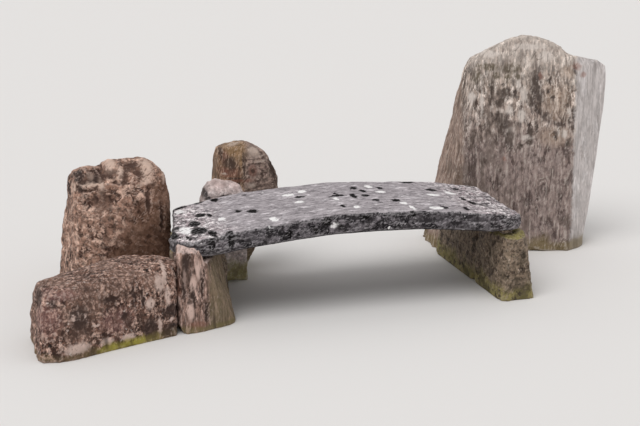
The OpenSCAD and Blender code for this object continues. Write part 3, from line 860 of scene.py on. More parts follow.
def slab_finish():
    """Pale grey top, edges painted nearly black as shade, mottled ends, lichen spots and painted shade
    along the far edge.
    """
    material, tree, surface, read = start_stone("blue grey slab", SLAB_SHINE)
    place = read["place"]
    long_place = vector(tree, "MULTIPLY", place, (0.42, 1.0, 1.0))
    top = mottled(
        tree, long_place, scale=17.0, crystals=130.0, shares=(0.20, 0.35), contrast=0.4,
        dark=rgb(0.15, 0.13, 0.14), body=rgb(0.376, 0.340, 0.355), pale=rgb(0.62, 0.575, 0.595)
    )
    # The sides' dark colours are painted shade, as the light comes from above.
    side = mottled(
        tree, place, scale=17.0, crystals=110.0, shares=(0.58, 0.30), contrast=0.6,
        dark=rgb(0.014, 0.012, 0.014), body=rgb(0.148, 0.133, 0.143), pale=rgb(0.34, 0.32, 0.335)
    )
    ends = mottled(
        tree, place, scale=19.0, crystals=90.0, shares=(0.52, 0.56), contrast=0.7,
        dark=rgb(0.022, 0.015, 0.017), body=rgb(0.36, 0.29, 0.30), pale=rgb(0.84, 0.77, 0.77)
    )
    ragged = frayed(tree, place, 9.0, 0.22)
    left = beyond(tree, ragged, LEFT_MOTTLED_FROM, (-1, 0, 0), 0.10)
    right = beyond(tree, ragged, RIGHT_MOTTLED_FROM, (1, 0, 0), 0.18)
    at_end = reckon(tree, "MAXIMUM", left, right)
    colour = tint(tree, at_end, top["Color"], ends["Color"], 0.85)
    grain = streaked(tree, place, (7.0, 75.0, 75.0), 0.40, 0.66)
    colour = tint(tree, grain["Mask"], colour, rgb(0.19, 0.17, 0.18), 0.34)
    colour = slab_faces_and_painted_shade(tree, read, colour, side, ends, at_end)
    fine = frayed(tree, place, 48.0, 0.04)
    colour = tint(tree, spotted(tree, fine, 17.0, 0.12, 0.20), colour, rgb(0.035, 0.03, 0.032), 0.8)
    colour = tint(tree, spotted(tree, fine, 24.0, 0.12, 0.20), colour, rgb(0.74, 0.72, 0.71), 0.7)
    # Black lichen and the painted shade along the far edge, then white lichen.
    colour = stained(tree, colour, fine, SLAB, [
        (SLAB_BLACK_LICHEN_AND_EDGE_SHADE, rgb(0.004, 0.003, 0.003), 0.25, 1.0, 1.3),
        (SLAB_WHITE, rgb(0.88, 0.86, 0.85), 0.25, 1.0, 1.2)
    ])
    look = {"Dust": rgb(0.50, 0.47, 0.48), "Dirt": rgb(0.045, 0.04, 0.042), "Wear": 0.35, "Grime": 0.55}
    end_stone(tree, surface, read, colour, reckon(tree, "ADD", top["Height"], grain["Value"]), look)
    return material


set_in_place(slab, SLAB, slab_finish())

# %% [markdown]
# ## The small packing stones
# Flat dark stones take up what is left between the slab's level seats and the stones below. They are
# split pieces, so lumps of two sizes are enough. All four groups share one finish.

# %% Packing stones
def packing_relief(points, normals):
    """Small lumps."""
    return MM * (1.4 * lumps(points, 40.0) + lumps(points, 90.0, 2))


def packing_finish():
    """Dark brown splinters."""
    material, tree, surface, read = start_stone("dark packing stone")
    rock = mottled(
        tree, read["place"], scale=40.0, crystals=160.0, shares=(0.4, 0.2), contrast=0.5,
        dark=rgb(0.05, 0.035, 0.025), body=rgb(0.17, 0.125, 0.09), pale=rgb(0.34, 0.28, 0.22)
    )
    look = {"Dust": rgb(0.4, 0.34, 0.28), "Dirt": rgb(0.04, 0.035, 0.025), "Wear": 0.4, "Grime": 0.5}
    end_stone(tree, surface, read, rock["Color"], rock["Height"], look)
    return material


packing_paint = packing_finish()
for corner in ("left_near", "left_far", "right_near", "right_far"):
    node = corner + "_packing"
    packing = dense_copy(corner + "_packing_stones", node, 0.0035, 1)
    weather(packing, packing_relief, proud=0.1, on_ground=False)
    set_in_place(packing, node, packing_paint)

# %% [markdown]
# ## The banded stone at the near left corner
# This stone stands on end beside the slab: its beds run up and down, and show as pink and dark stripes.
# Its top is a pinkish brown, and the side under the slab is olive with moss.

# %% Banded stone
BANDED = "left_near_bearing_stone"
BANDED_CORNER = (256.5, 266)
BANDED_PALE = [
    (251.8, 258.4, 2.4, 8.0), (249.7, 264.6, 2.4, 6.0), (248.6, 277, 3.0, 7.0), (254, 253.5, 1.6, 5.0),
    (246, 262, 1.2, 7.0), (257.6, 280, 2.0, 1.2)
]
BANDED_DARK = [
    (246.4, 256, 2.6, 8.0), (247.8, 272.8, 1.6, 1.8), (245.4, 268, 1.6, 8.0), (253.6, 266, 1.2, 12.0),
    (249.6, 270, 1.4, 7.0), (255.6, 276, 1.6, 9.0)
]
BANDED_RED = [(252, 282.6, 8.0, 3.4), (243, 266, 2.0, 8.0), (258.6, 270, 4.0, 5.0)]


def banded_relief(points, normals):
    """Upright beds, split across in places."""
    flutes = lumps(points, (34.0, 34.0, 5.0))
    broad = lumps(points, (9.0, 9.0, 4.0), 3)
    broken = ledges(points, (1.0, 1.0, 0.25), 18, 11)
    height = 4.5 * flutes + 3.5 * broad + 7.0 * broken
    return MM * (height - 5.0 * pressed(points, BANDED, BANDED_DARK))


banded = dense_copy("banded_stone", BANDED, 0.006, 3)
weather(banded, banded_relief)

# %% Banded finish
def banded_finish():
    """Pink and dark upright stripes, a pinkish top and an olive side."""
    material, tree, surface, read = start_stone("banded stone")
    place = read["place"]
    upright = vector(tree, "MULTIPLY", place, (1.0, 1.0, 0.22))
    rock = mottled(
        tree, upright, scale=34.0, crystals=110.0, shares=(0.5, 0.42), contrast=0.5,
        dark=rgb(0.055, 0.03, 0.022), body=rgb(0.22, 0.137, 0.108), pale=rgb(0.56, 0.38, 0.32)
    )
    level = between(tree, read["up"], 0.45, 0.75)
    colour = tint(tree, level, rock["Color"], rgb(0.65, 0.50, 0.455), 0.75)
    fine = frayed(tree, place, 45.0, 0.02)
    colour = stained(tree, colour, fine, BANDED, [
        (BANDED_DARK, rgb(0.06, 0.035, 0.028), 0.5, 1.0, 1.0),
        (BANDED_PALE, rgb(0.60, 0.43, 0.37), 0.5, 1.0, 1.0),
        (BANDED_RED, rgb(0.24, 0.115, 0.08), 0.5, 0.7, 1.0)
    ])
    under_slab = beyond(tree, fine, seen_at(BANDED, *BANDED_CORNER)[0], RIGHT, 0.015)
    olive = tint(tree, rock["Height"], rgb(0.10, 0.085, 0.04), rgb(0.30, 0.22, 0.15))
    colour = tint(tree, under_slab, colour, olive, 0.85)
    colour = tint(tree, moss_at_foot(tree, place, 0.05), colour, rgb(0.16, 0.13, 0.05), 0.7)
    look = {"Dust": rgb(0.52, 0.39, 0.34), "Dirt": rgb(0.04, 0.025, 0.02), "Wear": 0.45, "Grime": 0.6}
    end_stone(tree, surface, read, colour, rock["Height"], look)
    return material


set_in_place(banded, BANDED, banded_finish())

# %% [markdown]
# ## The other bearing stones
# Three plain brown stones carry the slab's remaining corners. They are mostly in shade, and olive moss
# grows along their damp feet and on the ledges just under the slab.

# %% Bearing stones
def bearing_relief(points, normals):
    """Blocky lumps with a few splits."""
    broken = ledges(points, (1.0, 1.0, 0.7), 16, 5)
    return MM * (5.0 * lumps(points, 9.0) + 7.0 * broken + 2.5 * lumps(points, 36.0, 3))


def bearing_finish():
    """Brown stone with olive moss."""
    material, tree, surface, read = start_stone("brown bearing stone")
    place = read["place"]
    rock = mottled(
        tree, place, scale=20.0, crystals=110.0, shares=(0.45, 0.25), contrast=0.5,
        dark=rgb(0.06, 0.04, 0.028), body=rgb(0.19, 0.14, 0.10), pale=rgb(0.36, 0.28, 0.22)
    )
    moss = reckon(tree, "MULTIPLY", moss_at_foot(tree, place, 0.10), 0.75)
    ledge = reckon(tree, "MULTIPLY", between(tree, read["up"], 0.35, 0.8), 0.8)
    green = reckon(tree, "MAXIMUM", moss, ledge)
    patchy = between(tree, rock["Height"], 0.25, 0.55)
    colour = tint(tree, green, rock["Color"], rgb(0.27, 0.235, 0.07), patchy)
    look = {"Dust": rgb(0.42, 0.35, 0.28), "Dirt": rgb(0.035, 0.028, 0.018), "Wear": 0.35, "Grime": 0.6}
    end_stone(tree, surface, read, colour, rock["Height"], look)
    return material


bearing_paint = bearing_finish()
for corner in ("left_far", "right_near", "right_far"):
    node = corner + "_bearing_stone"
    bearing = dense_copy(corner + "_bearing", node, 0.0075, 3)
    weather(bearing, bearing_relief)
    set_in_place(bearing, node, bearing_paint)

# %% [markdown]
# ## The long low stone in front
# A maroon and brown stone with the coarsest mottling of all: pink, dark and nearly white grains lie side
# by side, and towards its right end they run into upright streaks. Moss grows all along its foot.

# %% Wing stone
WING = "left_wing_stone"
WING_MOSS = [(217, 293.5, 30.0, 12.0)]
WING_PALE = [
    (234.8, 264, 4.6, 6.0), (236.6, 259, 1.8, 5.0), (238.4, 270, 2.6, 8.0), (230.6, 273, 3.6, 4.6),
    (235, 283, 1.4, 7.0), (240.2, 280.2, 1.8, 1.6), (197, 280.2, 1.8, 2.2), (201.8, 279, 1.4, 1.4),
    (199, 293.4, 11.0, 4.0), (212, 290, 5.0, 3.0), (221, 288, 6.0, 2.4), (207, 283, 3.0, 1.0)
]
WING_DARK = [
    (240.6, 276, 9.0, 5.6), (231, 284, 6.0, 8.0), (241, 285, 7.0, 7.0), (199.6, 280, 8.0, 9.0),
    (190.4, 297, 3.0, 2.0), (187.6, 274, 3.6, 3.6), (223.4, 270, 1.4, 9.0), (227.4, 271, 1.4, 9.0),
    (213, 272, 7.0, 2.0), (181, 270, 3.0, 8.0), (219.5, 279, 3.0, 3.0)
]
WING_PURPLE = [(185, 281, 11.0, 12.0), (191, 270.4, 14.0, 3.6), (216, 281, 14.0, 9.0)]


def wing_relief(points, normals):
    """Coarse knobs and upright furrows."""
    knobs = lumps(points, 13.0, 5)
    furrows = lumps(points, (30.0, 30.0, 7.0), 3)
    broken = ledges(points, (1.0, 1.0, 0.6), 26, 8)
    raised = 4.0 * pressed(points, WING, WING_PALE)
    sunk = 6.0 * pressed(points, WING, WING_DARK)
    return MM * (6.5 * knobs + 4.5 * furrows + 8.0 * broken + raised - sunk)


wing = dense_copy("wing_stone", WING, 0.007, 2)
weather(wing, wing_relief, proud=0.35)

# %% Wing finish
def wing_finish():
    """Maroon, pink and dark grains with moss along the foot."""
    material, tree, surface, read = start_stone("maroon stone")
    place = read["place"]
    rock = mottled(
        tree, place, scale=26.0, crystals=75.0, shares=(0.55, 0.5), contrast=0.8,
        dark=rgb(0.040, 0.017, 0.011), body=rgb(0.150, 0.080, 0.058), pale=rgb(0.42, 0.28, 0.225)
    )
    broad = between(tree, cloud(tree, place, 5.0, 2.0), 0.5, 0.62)
    colour = tint(tree, broad, rock["Color"], rgb(0.205, 0.125, 0.095))
    colour = tint(tree, 0.55, colour, rock["Color"])
    ragged = frayed(tree, place, 32.0, 0.05)
    colour = stained(tree, colour, ragged, WING, [(WING_PURPLE, rgb(0.21, 0.105, 0.095), 0.6, 0.55, 1.0)])
    colour = stained(tree, colour, frayed(tree, place, 60.0, 0.035), WING, [
        (WING_DARK, rgb(0.035, 0.024, 0.022), 0.4, 0.75, 1.0),
        (WING_PALE, rgb(0.62, 0.47, 0.41), 0.4, 0.85, 1.0)
    ])
    colour = tint(tree, spotted(tree, ragged, 38.0, 0.16, 0.24), colour, rgb(0.62, 0.52, 0.47), 0.7)
    moss = moss_at_foot(tree, place, 0.05, 14.0)
    bright = reckon(tree, "MULTIPLY", moss, marks(tree, ragged, WING, WING_MOSS, 0.4))
    colour = tint(tree, moss, colour, rgb(0.15, 0.11, 0.05), 0.55)
    colour = tint(tree, bright, colour, rgb(0.34, 0.30, 0.05), 0.9)
    look = {"Dust": rgb(0.50, 0.37, 0.32), "Dirt": rgb(0.045, 0.024, 0.018), "Wear": 0.5, "Grime": 0.65}
    end_stone(tree, surface, read, colour, rock["Height"], look)
    return material


set_in_place(wing, WING, wing_finish())

# %% [markdown]
# ## The rounded boulder
# The big boulder behind the slab's left end is pinkish brown on its crown and purplish down its right
# side, which faces down and away and is painted dark as shade. It is split along a level line at its left
# shoulder, where black and white lichen sits. Its crown is knobbly: the hollows and knobs are pressed into
# the mesh at the pixels where they show, and pale marks on the knobs' tops are painted highlights.

# %% Domed boulder
DOME = "left_domed_boulder"
DOME_SHADE_TURN = (228, 228)
DOME_SLANT = np.array([[0.8, 0.0, 0.6], [0.0, 1.0, 0.0], [-0.6, 0.0, 0.8]])
DOME_BLACK = [
    (199.0, 216.2, 4.6, 3.0), (206, 217.4, 3.4, 1.3), (202, 219.2, 12.0, 0.9), (194.8, 222, 1.0, 8.0)
]
DOME_BROWN = [
    (205.5, 223.4, 8.0, 1.8), (221.7, 211.4, 6.4, 1.8), (225.6, 215.2, 4.6, 1.3), (219.4, 217, 2.6, 4.6),
    (220.3, 220.4, 4.6, 1.7), (225.4, 218.4, 5.0, 1.1), (212, 214.9, 5.6, 1.1), (214.8, 220.2, 2.4, 1.6),
    (231.3, 221, 2.0, 2.0), (209, 216.8, 1.6, 3.4), (230, 229, 2.0, 7.0), (236, 235, 2.0, 9.0)
]
DOME_HOLLOWS = [
    (198.8, 216.6, 4.4, 3.0), (205.6, 217.4, 4.4, 1.6), (202, 219.2, 13.0, 1.2), (202.6, 223.4, 8.0, 1.8),
    (208.2, 214.2, 2.0, 4.0), (221.7, 211.6, 7.0, 1.8), (219.4, 217.4, 2.8, 5.4), (225.6, 215.5, 5.0, 1.4),
    (225.4, 218.4, 5.4, 1.3), (212, 215.2, 6.0, 1.3), (214.8, 220.4, 3.4, 1.8), (230, 229, 2.2, 9.0),
    (236, 235, 2.2, 10.0), (209, 228, 9.0, 1.8)
]
DOME_KNOBS = [
    (212.8, 212.2, 5.4, 3.0), (202.4, 214, 8.0, 1.6), (229, 212.6, 5.4, 4.6), (229, 219.4, 4.6, 2.6),
    (236.2, 218, 2.0, 5.0), (203.4, 221.2, 10.0, 1.6), (217, 213, 3.4, 2.4), (223, 226, 8.0, 5.0),
    (202, 232, 7.0, 8.0), (211, 222, 5.0, 3.0)
]
# Pale marks: white lichen at the left shoulder, and painted highlights on the tops of the knobs.
DOME_LICHEN_AND_HIGHLIGHTS = [
    (204.2, 215.6, 2.8, 1.0), (196.9, 222.6, 1.8, 3.0), (204.5, 221.4, 10.0, 1.4), (208.8, 220.2, 2.2, 1.6),
    (213, 212.2, 4.6, 2.2), (229, 213.8, 5.0, 4.0), (229, 219.2, 4.4, 2.2), (236.2, 218, 1.8, 4.0),
    (217, 214.8, 2.6, 1.4), (201, 213.2, 7.0, 0.8), (225.6, 221.4, 3.0, 1.6), (216.8, 218, 1.6, 2.4)
]


def dome_relief(points, normals):
    """Worn knobs with the hollows between them where the photo shows them, and splits."""
    knobs = lumps(points, 8.5, 5)
    slanted = lumps(points @ DOME_SLANT, (8.0, 20.0, 30.0), 3)
    broken = ledges(points, (0.6, 0.6, 1.0), 24, 21)
    split = cracks(points, (4.0, 4.0, 11.0), 0.05)
    height = 6.0 * knobs + 4.5 * slanted + 8.0 * broken + 5.0 * split
    height += 8.0 * pressed(points, DOME, DOME_KNOBS)
    return MM * (height - 14.0 * pressed(points, DOME, DOME_HOLLOWS))


dome = dense_copy("domed_boulder", DOME, 0.0068, 2)
weather(dome, dome_relief, proud=0.3)

# %% Dome finish
def dome_finish():
    """Pinkish crown with painted highlights, right side painted dark as shade, black and white shoulder."""
    material, tree, surface, read = start_stone("pink brown boulder")
    place = read["place"]
    rock = mottled(
        tree, place, scale=13.0, crystals=95.0, shares=(0.46, 0.5), contrast=0.6,
        dark=rgb(0.052, 0.024, 0.016), body=rgb(0.27, 0.158, 0.115), pale=rgb(0.50, 0.335, 0.262)
    )
    ragged = frayed(tree, place, 22.0, 0.06)
    # Painted shade: the right side, which faces down and away, is darkened to a deep purple.
    shaded_right_side = beyond(tree, ragged, seen_at(DOME, *DOME_SHADE_TURN)[0], RIGHT - 0.6 * UP, 0.05)
    purple = tint(tree, rock["Height"], rgb(0.055, 0.024, 0.014), rgb(0.25, 0.132, 0.082))
    colour = tint(tree, shaded_right_side, rock["Color"], purple, 0.8)
    # The pale marks are white lichen at the shoulder and painted highlights on the knobs' tops.
    colour = stained(tree, colour, frayed(tree, place, 42.0, 0.04), DOME, [
        (DOME_BROWN, rgb(0.075, 0.038, 0.026), 0.7, 0.8, 1.0),
        (DOME_BLACK, rgb(0.03, 0.022, 0.02), 0.4, 1.0, 1.0),
        (DOME_LICHEN_AND_HIGHLIGHTS, rgb(0.62, 0.46, 0.375), 0.6, 0.8, 1.0)
    ])
    colour = tint(tree, moss_at_foot(tree, place, 0.06), colour, rgb(0.15, 0.14, 0.05), 0.7)
    look = {"Dust": rgb(0.60, 0.44, 0.37), "Dirt": rgb(0.05, 0.026, 0.02), "Wear": 0.45, "Grime": 0.6}
    end_stone(tree, surface, read, colour, rock["Height"], look)
    return material


set_in_place(dome, DOME, dome_finish())

# %% [markdown]
# ## The pale ledge stone
# A small rounded stone, washed pale grey with a pink tinge, lies just behind the slab. Its left end is
# notched, and moss grows at its foot. The notch and the seam where it meets the slab are painted dark as
# shade.

# %% Ledge stone
LEDGE = "far_ledge_stone"
# Painted shade in the notch at the left end and along the seam with the slab.
LEDGE_NOTCH_AND_SEAM_SHADE = [(254.4, 224.4, 2.6, 4.4), (256, 227, 3.0, 2.0), (264, 225.6, 9.0, 0.8)]
LEDGE_PINK = [(261, 218.4, 9.0, 2.6), (267, 219.6, 6.0, 1.6)]


def ledge_relief(points, normals):
    """Smooth worn lumps."""
    return MM * (6.0 * lumps(points, 10.0, 3) + 3.0 * lumps(points, 40.0, 3))


ledge_stone = dense_copy("ledge_stone", LEDGE, 0.006, 4)
weather(ledge_stone, ledge_relief)

# %% Ledge finish
def ledge_finish():
    """Pale beige grey, pink along the top, painted shade in the notch and the seam, moss at the foot."""
    material, tree, surface, read = start_stone("pale ledge stone")
    place = read["place"]
    rock = mottled(
        tree, place, scale=20.0, crystals=120.0, shares=(0.2, 0.5), contrast=0.35,
        dark=rgb(0.25, 0.18, 0.165), body=rgb(0.52, 0.425, 0.405), pale=rgb(0.70, 0.60, 0.58)
    )
    # The dark marks are painted shade in the notch and along the seam with the slab.
    colour = stained(tree, rock["Color"], frayed(tree, place, 50.0, 0.02), LEDGE, [
        (LEDGE_PINK, rgb(0.62, 0.45, 0.42), 0.5, 0.5, 1.0),
        (LEDGE_NOTCH_AND_SEAM_SHADE, rgb(0.05, 0.04, 0.04), 0.5, 1.0, 1.0)
    ])
    colour = tint(tree, moss_at_foot(tree, place, 0.13), colour, rgb(0.26, 0.23, 0.06), 0.8)
    look = {"Dust": rgb(0.62, 0.55, 0.52), "Dirt": rgb(0.12, 0.09, 0.08), "Wear": 0.35, "Grime": 0.4}
    end_stone(tree, surface, read, colour, rock["Height"], look)
    return material


set_in_place(ledge_stone, LEDGE, ledge_finish())

# %% [markdown]
# ## The striped leaning stone
# Half of this stone is ochre with upright streaks round a dark centre. The other half is grey brown with
# curved level bands, one above the other, like the pages of a book. Its right side is in the dark: a nearly
# black mark along its right edge is painted shade, and so is the dark line at its foot where the ledge
# stone meets it.

# %% Leaning stone
LEANING = "far_leaning_stone"
LEANING_SEAM = (271.5, 211)
# The second hollow, at the right edge, is also painted nearly black as shade.
LEANING_HOLLOWS_AND_SHADE = [
    (265.5, 211.4, 5.0, 5.0), (284.3, 214, 3.4, 12.0), (271.6, 213, 1.0, 11.0), (261.6, 207, 1.6, 6.0)
]
# The first line, at the foot where the ledge stone meets it, is painted shade.
LEANING_LINES = [
    (268.4, 218.2, 9.0, 1.0), (275.6, 214.6, 1.8, 3.0), (277.6, 209.6, 10.0, 0.5), (278, 211.8, 10.0, 0.5),
    (276.6, 207.2, 9.0, 0.5), (279.6, 216.6, 1.4, 3.0)
]
LEANING_PALE = [
    (263, 216, 2.6, 0.9), (263, 219.2, 3.0, 0.9), (275, 221, 3.4, 2.0), (276, 205.4, 6.0, 1.0),
    (278.4, 208.4, 7.0, 0.8), (279, 210.7, 7.0, 0.8), (267, 202.6, 6.0, 1.0)
]
LEANING_OCHRE = [(268, 204.6, 9.0, 6.0), (270.6, 210, 1.6, 8.0)]
LEANING_RED = [
    (265.6, 215.6, 9.0, 5.0), (275.4, 214.8, 3.6, 5.0), (263, 209, 3.0, 6.0), (270, 219, 12.0, 2.0)
]


def leaning_relief(points, normals):
    """Upright flutes on the left and level beds on the right."""
    seam = np.array(seen_at(LEANING, *LEANING_SEAM)[0])
    on_right = smooth_step((points - seam) @ np.array(RIGHT), -0.015, 0.015)
    flutes = 5.0 * lumps(points, (34.0, 34.0, 7.0))
    pages = 0.8 * beds(points, (-0.25, 0.0, 0.97), 30.0, 1.6)
    height = 3.0 * lumps(points, 8.0, 3) + 5.0 * ledges(points, (0.8, 0.8, 0.6), 12, 33)
    height += (1.0 - on_right) * flutes + on_right * pages
    return MM * (height - 5.0 * pressed(points, LEANING, LEANING_HOLLOWS_AND_SHADE))


leaning = dense_copy("leaning_stone", LEANING, 0.006, 2)
weather(leaning, leaning_relief)

# %% Leaning finish
def leaning_finish():
    """Ochre streaks beside grey brown bands."""
    material, tree, surface, read = start_stone("ochre striped stone")
    place = read["place"]
    upright = vector(tree, "MULTIPLY", place, (1.0, 1.0, 0.25))
    ochre = mottled(
        tree, upright, scale=32.0, crystals=110.0, shares=(0.45, 0.45), contrast=0.5,
        dark=rgb(0.045, 0.022, 0.012), body=rgb(0.185, 0.11, 0.066), pale=rgb(0.40, 0.27, 0.19)
    )
    grey = mottled(
        tree, place, scale=22.0, crystals=110.0, shares=(0.4, 0.3), contrast=0.5,
        dark=rgb(0.10, 0.066, 0.056), body=rgb(0.28, 0.20, 0.168), pale=rgb(0.47, 0.37, 0.315)
    )
    pages = streaked(tree, place, (6.0, 6.0, 78.0), 0.46, 0.64)["Mask"]
    banded_grey = tint(tree, pages, grey["Color"], rgb(0.10, 0.062, 0.05), 0.55)
    fine = frayed(tree, place, 50.0, 0.02)
    on_right = beyond(tree, fine, seen_at(LEANING, *LEANING_SEAM)[0], RIGHT, 0.012)
    colour = tint(tree, on_right, ochre["Color"], banded_grey)
    # The dark mark at the right edge and the dark line at the foot are painted shade.
    colour = stained(tree, colour, fine, LEANING, [
        (LEANING_OCHRE, rgb(0.27, 0.165, 0.075), 0.6, 0.55, 1.0),
        (LEANING_RED, rgb(0.20, 0.085, 0.06), 0.6, 0.7, 1.0),
        (LEANING_HOLLOWS_AND_SHADE + LEANING_LINES, rgb(0.055, 0.032, 0.024), 0.5, 0.85, 1.0),
        (LEANING_PALE, rgb(0.50, 0.40, 0.34), 0.5, 0.7, 1.0)
    ])
    colour = tint(tree, moss_at_foot(tree, place, 0.16), colour, rgb(0.20, 0.17, 0.06), 0.7)
    look = {"Dust": rgb(0.50, 0.38, 0.30), "Dirt": rgb(0.045, 0.028, 0.02), "Wear": 0.45, "Grime": 0.55}
    end_stone(tree, surface, read, colour, ochre["Height"], look)
    return material


set_in_place(leaning, LEANING, leaning_finish())

# %% [markdown]
# ## The tall standing stone
# The tallest rock is beige and grey and stands on end. Rain has drawn fine lines down its face.
# Its head is pale, its foot darker and purplish, and two patches of olive lichen sit near the top.
# Its right facet is a smooth pale split face, and its narrow left facet is striped orange brown.

# %% Standing stone
STANDING = "right_standing_stone"
STANDING_RIGHT_FACET = (416, 190)
STANDING_LEFT_FACET = (367.5, 200)
STANDING_FRECKLES = [(409, 190, 16.0, 44.0)]
FOOT_BELOW = (0, 0, 0.72)
HEAD_ABOVE = (0, 0, 0.98)
STANDING_LICHEN = [
    (371.9, 172.4, 5.4, 5.4), (379, 169, 7.0, 3.0), (388, 169.6, 8.0, 4.4), (386.4, 174, 3.0, 4.6),
    (391.2, 173.4, 1.8, 3.0), (381.6, 172.6, 3.0, 3.0), (374, 168.6, 2.4, 1.8)
]
STANDING_DARK = [
    (399, 177, 4.6, 14.0), (401, 181, 2.6, 8.0), (397, 184, 2.4, 5.0), (380, 178, 1.8, 5.6),
    (387, 180.3, 7.0, 3.2), (383, 185, 3.0, 3.0), (404.3, 179.4, 1.6, 1.8), (406.3, 182.3, 1.6, 1.6),
    (399.3, 187, 1.2, 2.6), (399.3, 195, 1.2, 6.0), (412.2, 185.6, 1.6, 1.6), (415.4, 187.6, 1.4, 2.0),
    (414.2, 192.8, 1.4, 1.6), (415.2, 195.6, 1.8, 2.4), (408.2, 194, 2.4, 2.0), (403.8, 190.8, 3.0, 3.6),
    (407.6, 198.4, 1.8, 4.0), (413.2, 202, 1.8, 3.6), (396.8, 197.4, 2.6, 3.2), (396.4, 202, 2.4, 3.0),
    (392.6, 203.6, 2.2, 2.6), (385, 194, 5.0, 6.0), (387.6, 201, 3.0, 8.0), (366, 216, 2.0, 5.0),
    (361, 213, 3.0, 7.0), (416.2, 170, 1.6, 4.0), (405, 174, 1.2, 4.0)
]
STANDING_PALE = [
    (378, 163.4, 11.0, 2.6), (396, 160, 14.0, 3.0), (393.8, 181, 3.6, 7.0), (392.8, 190, 3.6, 6.0),
    (387.4, 187.6, 3.4, 4.0), (413.7, 188.4, 2.0, 3.4), (411.7, 198, 2.2, 4.2), (387.8, 196.6, 2.4, 3.0),
    (395.2, 199.6, 5.4, 2.4), (371, 182, 3.0, 5.0), (403, 164, 6.0, 5.0), (409, 196.6, 1.4, 5.0),
    (391.4, 176, 1.6, 7.0), (375.6, 184, 1.4, 14.0)
]
STANDING_TAN = [(408, 184, 12.0, 16.0), (407, 199, 14.0, 9.0), (413, 171, 7.0, 5.0)]
STANDING_RED = [
    (417, 168.6, 4.0, 3.0), (419.6, 172, 3.0, 2.6), (401, 172.6, 1.6, 4.0), (385.4, 209, 1.6, 2.0)
]


def standing_relief(points, normals):
    """Fine upright lines, slow swells and a few long splits; the right facet stays smooth."""
    facet = np.array(seen_at(STANDING, *STANDING_RIGHT_FACET)[0])
    on_facet = smooth_step((points - facet) @ np.array(RIGHT), -0.01, 0.03)
    lines = lumps(points, (38.0, 38.0, 4.5))
    broken = ledges(points, (1.0, 0.8, 0.2), 22, 14)
    split = cracks(points, (7.0, 7.0, 1.6), 0.04)
    rough = 4.2 * lines + 3.6 * lumps(points, 15.0) + 6.0 * broken + 4.0 * split
    height = 3.0 * lumps(points, (5.0, 5.0, 2.6), 3) + rough * (1.0 - 0.75 * on_facet)
    return MM * (height - 4.0 * pressed(points, STANDING, STANDING_DARK))


standing = dense_copy("standing_stone", STANDING, 0.0075, 2)
weather(standing, standing_relief, proud=0.3)

# %% Standing finish
def facets_and_freckles(tree, colour, place, upright, fine):
    """A smooth pale right facet, a striped left one, and freckles round the right edge."""
    smooth = mottled(
        tree, upright, scale=9.0, crystals=140.0, shares=(0.25, 0.4), contrast=0.2,
        dark=rgb(0.42, 0.375, 0.36), body=rgb(0.60, 0.55, 0.535), pale=rgb(0.72, 0.67, 0.66)
    )
    right = beyond(tree, fine, seen_at(STANDING, *STANDING_RIGHT_FACET)[0], RIGHT, 0.012)
    colour = tint(tree, right, colour, smooth["Color"])
    stripes = streaked(tree, place, (60.0, 60.0, 12.0), 0.42, 0.58)["Mask"]
    orange = tint(tree, stripes, rgb(0.46, 0.33, 0.26), rgb(0.20, 0.12, 0.085))
    left = beyond(tree, fine, seen_at(STANDING, *STANDING_LEFT_FACET)[0], -RIGHT, 0.012)
    colour = tint(tree, left, colour, orange, 0.7)
    freckles = spotted(tree, fine, 30.0, 0.35, 0.26)
    freckles = reckon(tree, "MULTIPLY", freckles, marks(tree, place, STANDING, STANDING_FRECKLES, 0.6))
    return tint(tree, freckles, colour, rgb(0.20, 0.13, 0.09), 0.7)


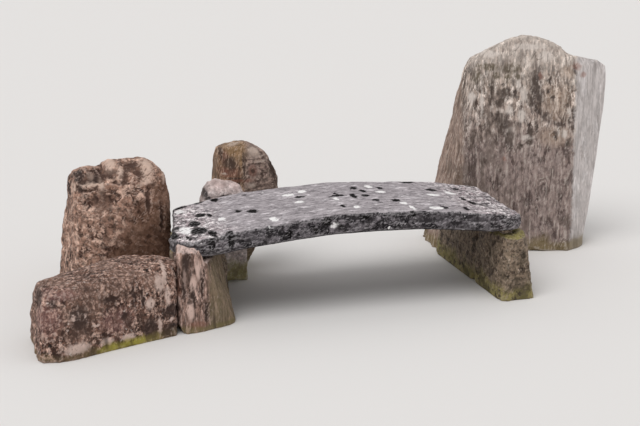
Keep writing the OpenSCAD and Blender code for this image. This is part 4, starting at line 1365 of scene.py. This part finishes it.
def standing_finish():
    """Beige face with rain lines, pale head, dark foot, lichen and a smooth right facet."""
    material, tree, surface, read = start_stone("beige standing stone")
    place = read["place"]
    upright = vector(tree, "MULTIPLY", place, (1.0, 1.0, 0.4))
    rock = mottled(
        tree, upright, scale=21.0, crystals=100.0, shares=(0.46, 0.46), contrast=0.8,
        dark=rgb(0.095, 0.066, 0.052), body=rgb(0.37, 0.295, 0.25), pale=rgb(0.72, 0.625, 0.56)
    )
    ragged = frayed(tree, place, 7.0, 0.25)
    foot = beyond(tree, ragged, FOOT_BELOW, (0, 0, -1), 0.22)
    grain = between(tree, rock["Height"], 0.25, 0.6)
    purple = tint(tree, grain, rgb(0.09, 0.06, 0.056), rgb(0.33, 0.25, 0.23))
    colour = tint(tree, foot, rock["Color"], purple, 0.85)
    head = beyond(tree, ragged, HEAD_ABOVE, (0, 0, 1), 0.10)
    colour = tint(tree, head, colour, rgb(0.66, 0.575, 0.515), 0.5)
    fine = frayed(tree, place, 46.0, 0.034)
    open_grain = between(tree, rock["Height"], 0.78, 0.42)
    colour = stained(tree, colour, fine, STANDING, [
        (STANDING_TAN, rgb(0.44, 0.325, 0.25), 0.6, 0.55, 1.0),
        (STANDING_PALE, rgb(0.72, 0.64, 0.585), 0.5, 0.85, 1.0),
        (STANDING_DARK, rgb(0.075, 0.055, 0.048), 0.6, open_grain, 1.2)
    ])
    colour = facets_and_freckles(tree, colour, place, upright, fine)
    crusted = reckon(tree, "MULTIPLY", open_grain, 0.85)
    colour = stained(tree, colour, fine, STANDING, [
        (STANDING_LICHEN, rgb(0.115, 0.09, 0.055), 0.4, crusted, 1.15),
        (STANDING_RED, rgb(0.34, 0.16, 0.12), 0.6, 0.6, 1.0)
    ])
    rain = streaked(tree, place, (85.0, 85.0, 5.0), 0.45, 0.68)
    colour = tint(tree, rain["Mask"], colour, rgb(0.17, 0.135, 0.12), 0.38)
    colour = tint(tree, moss_at_foot(tree, place, 0.10), colour, rgb(0.20, 0.15, 0.06), 0.75)
    look = {"Dust": rgb(0.60, 0.53, 0.47), "Dirt": rgb(0.10, 0.075, 0.06), "Wear": 0.45, "Grime": 0.5}
    end_stone(tree, surface, read, colour, reckon(tree, "ADD", rock["Height"], rain["Value"]), look)
    return material


set_in_place(standing, STANDING, standing_finish())
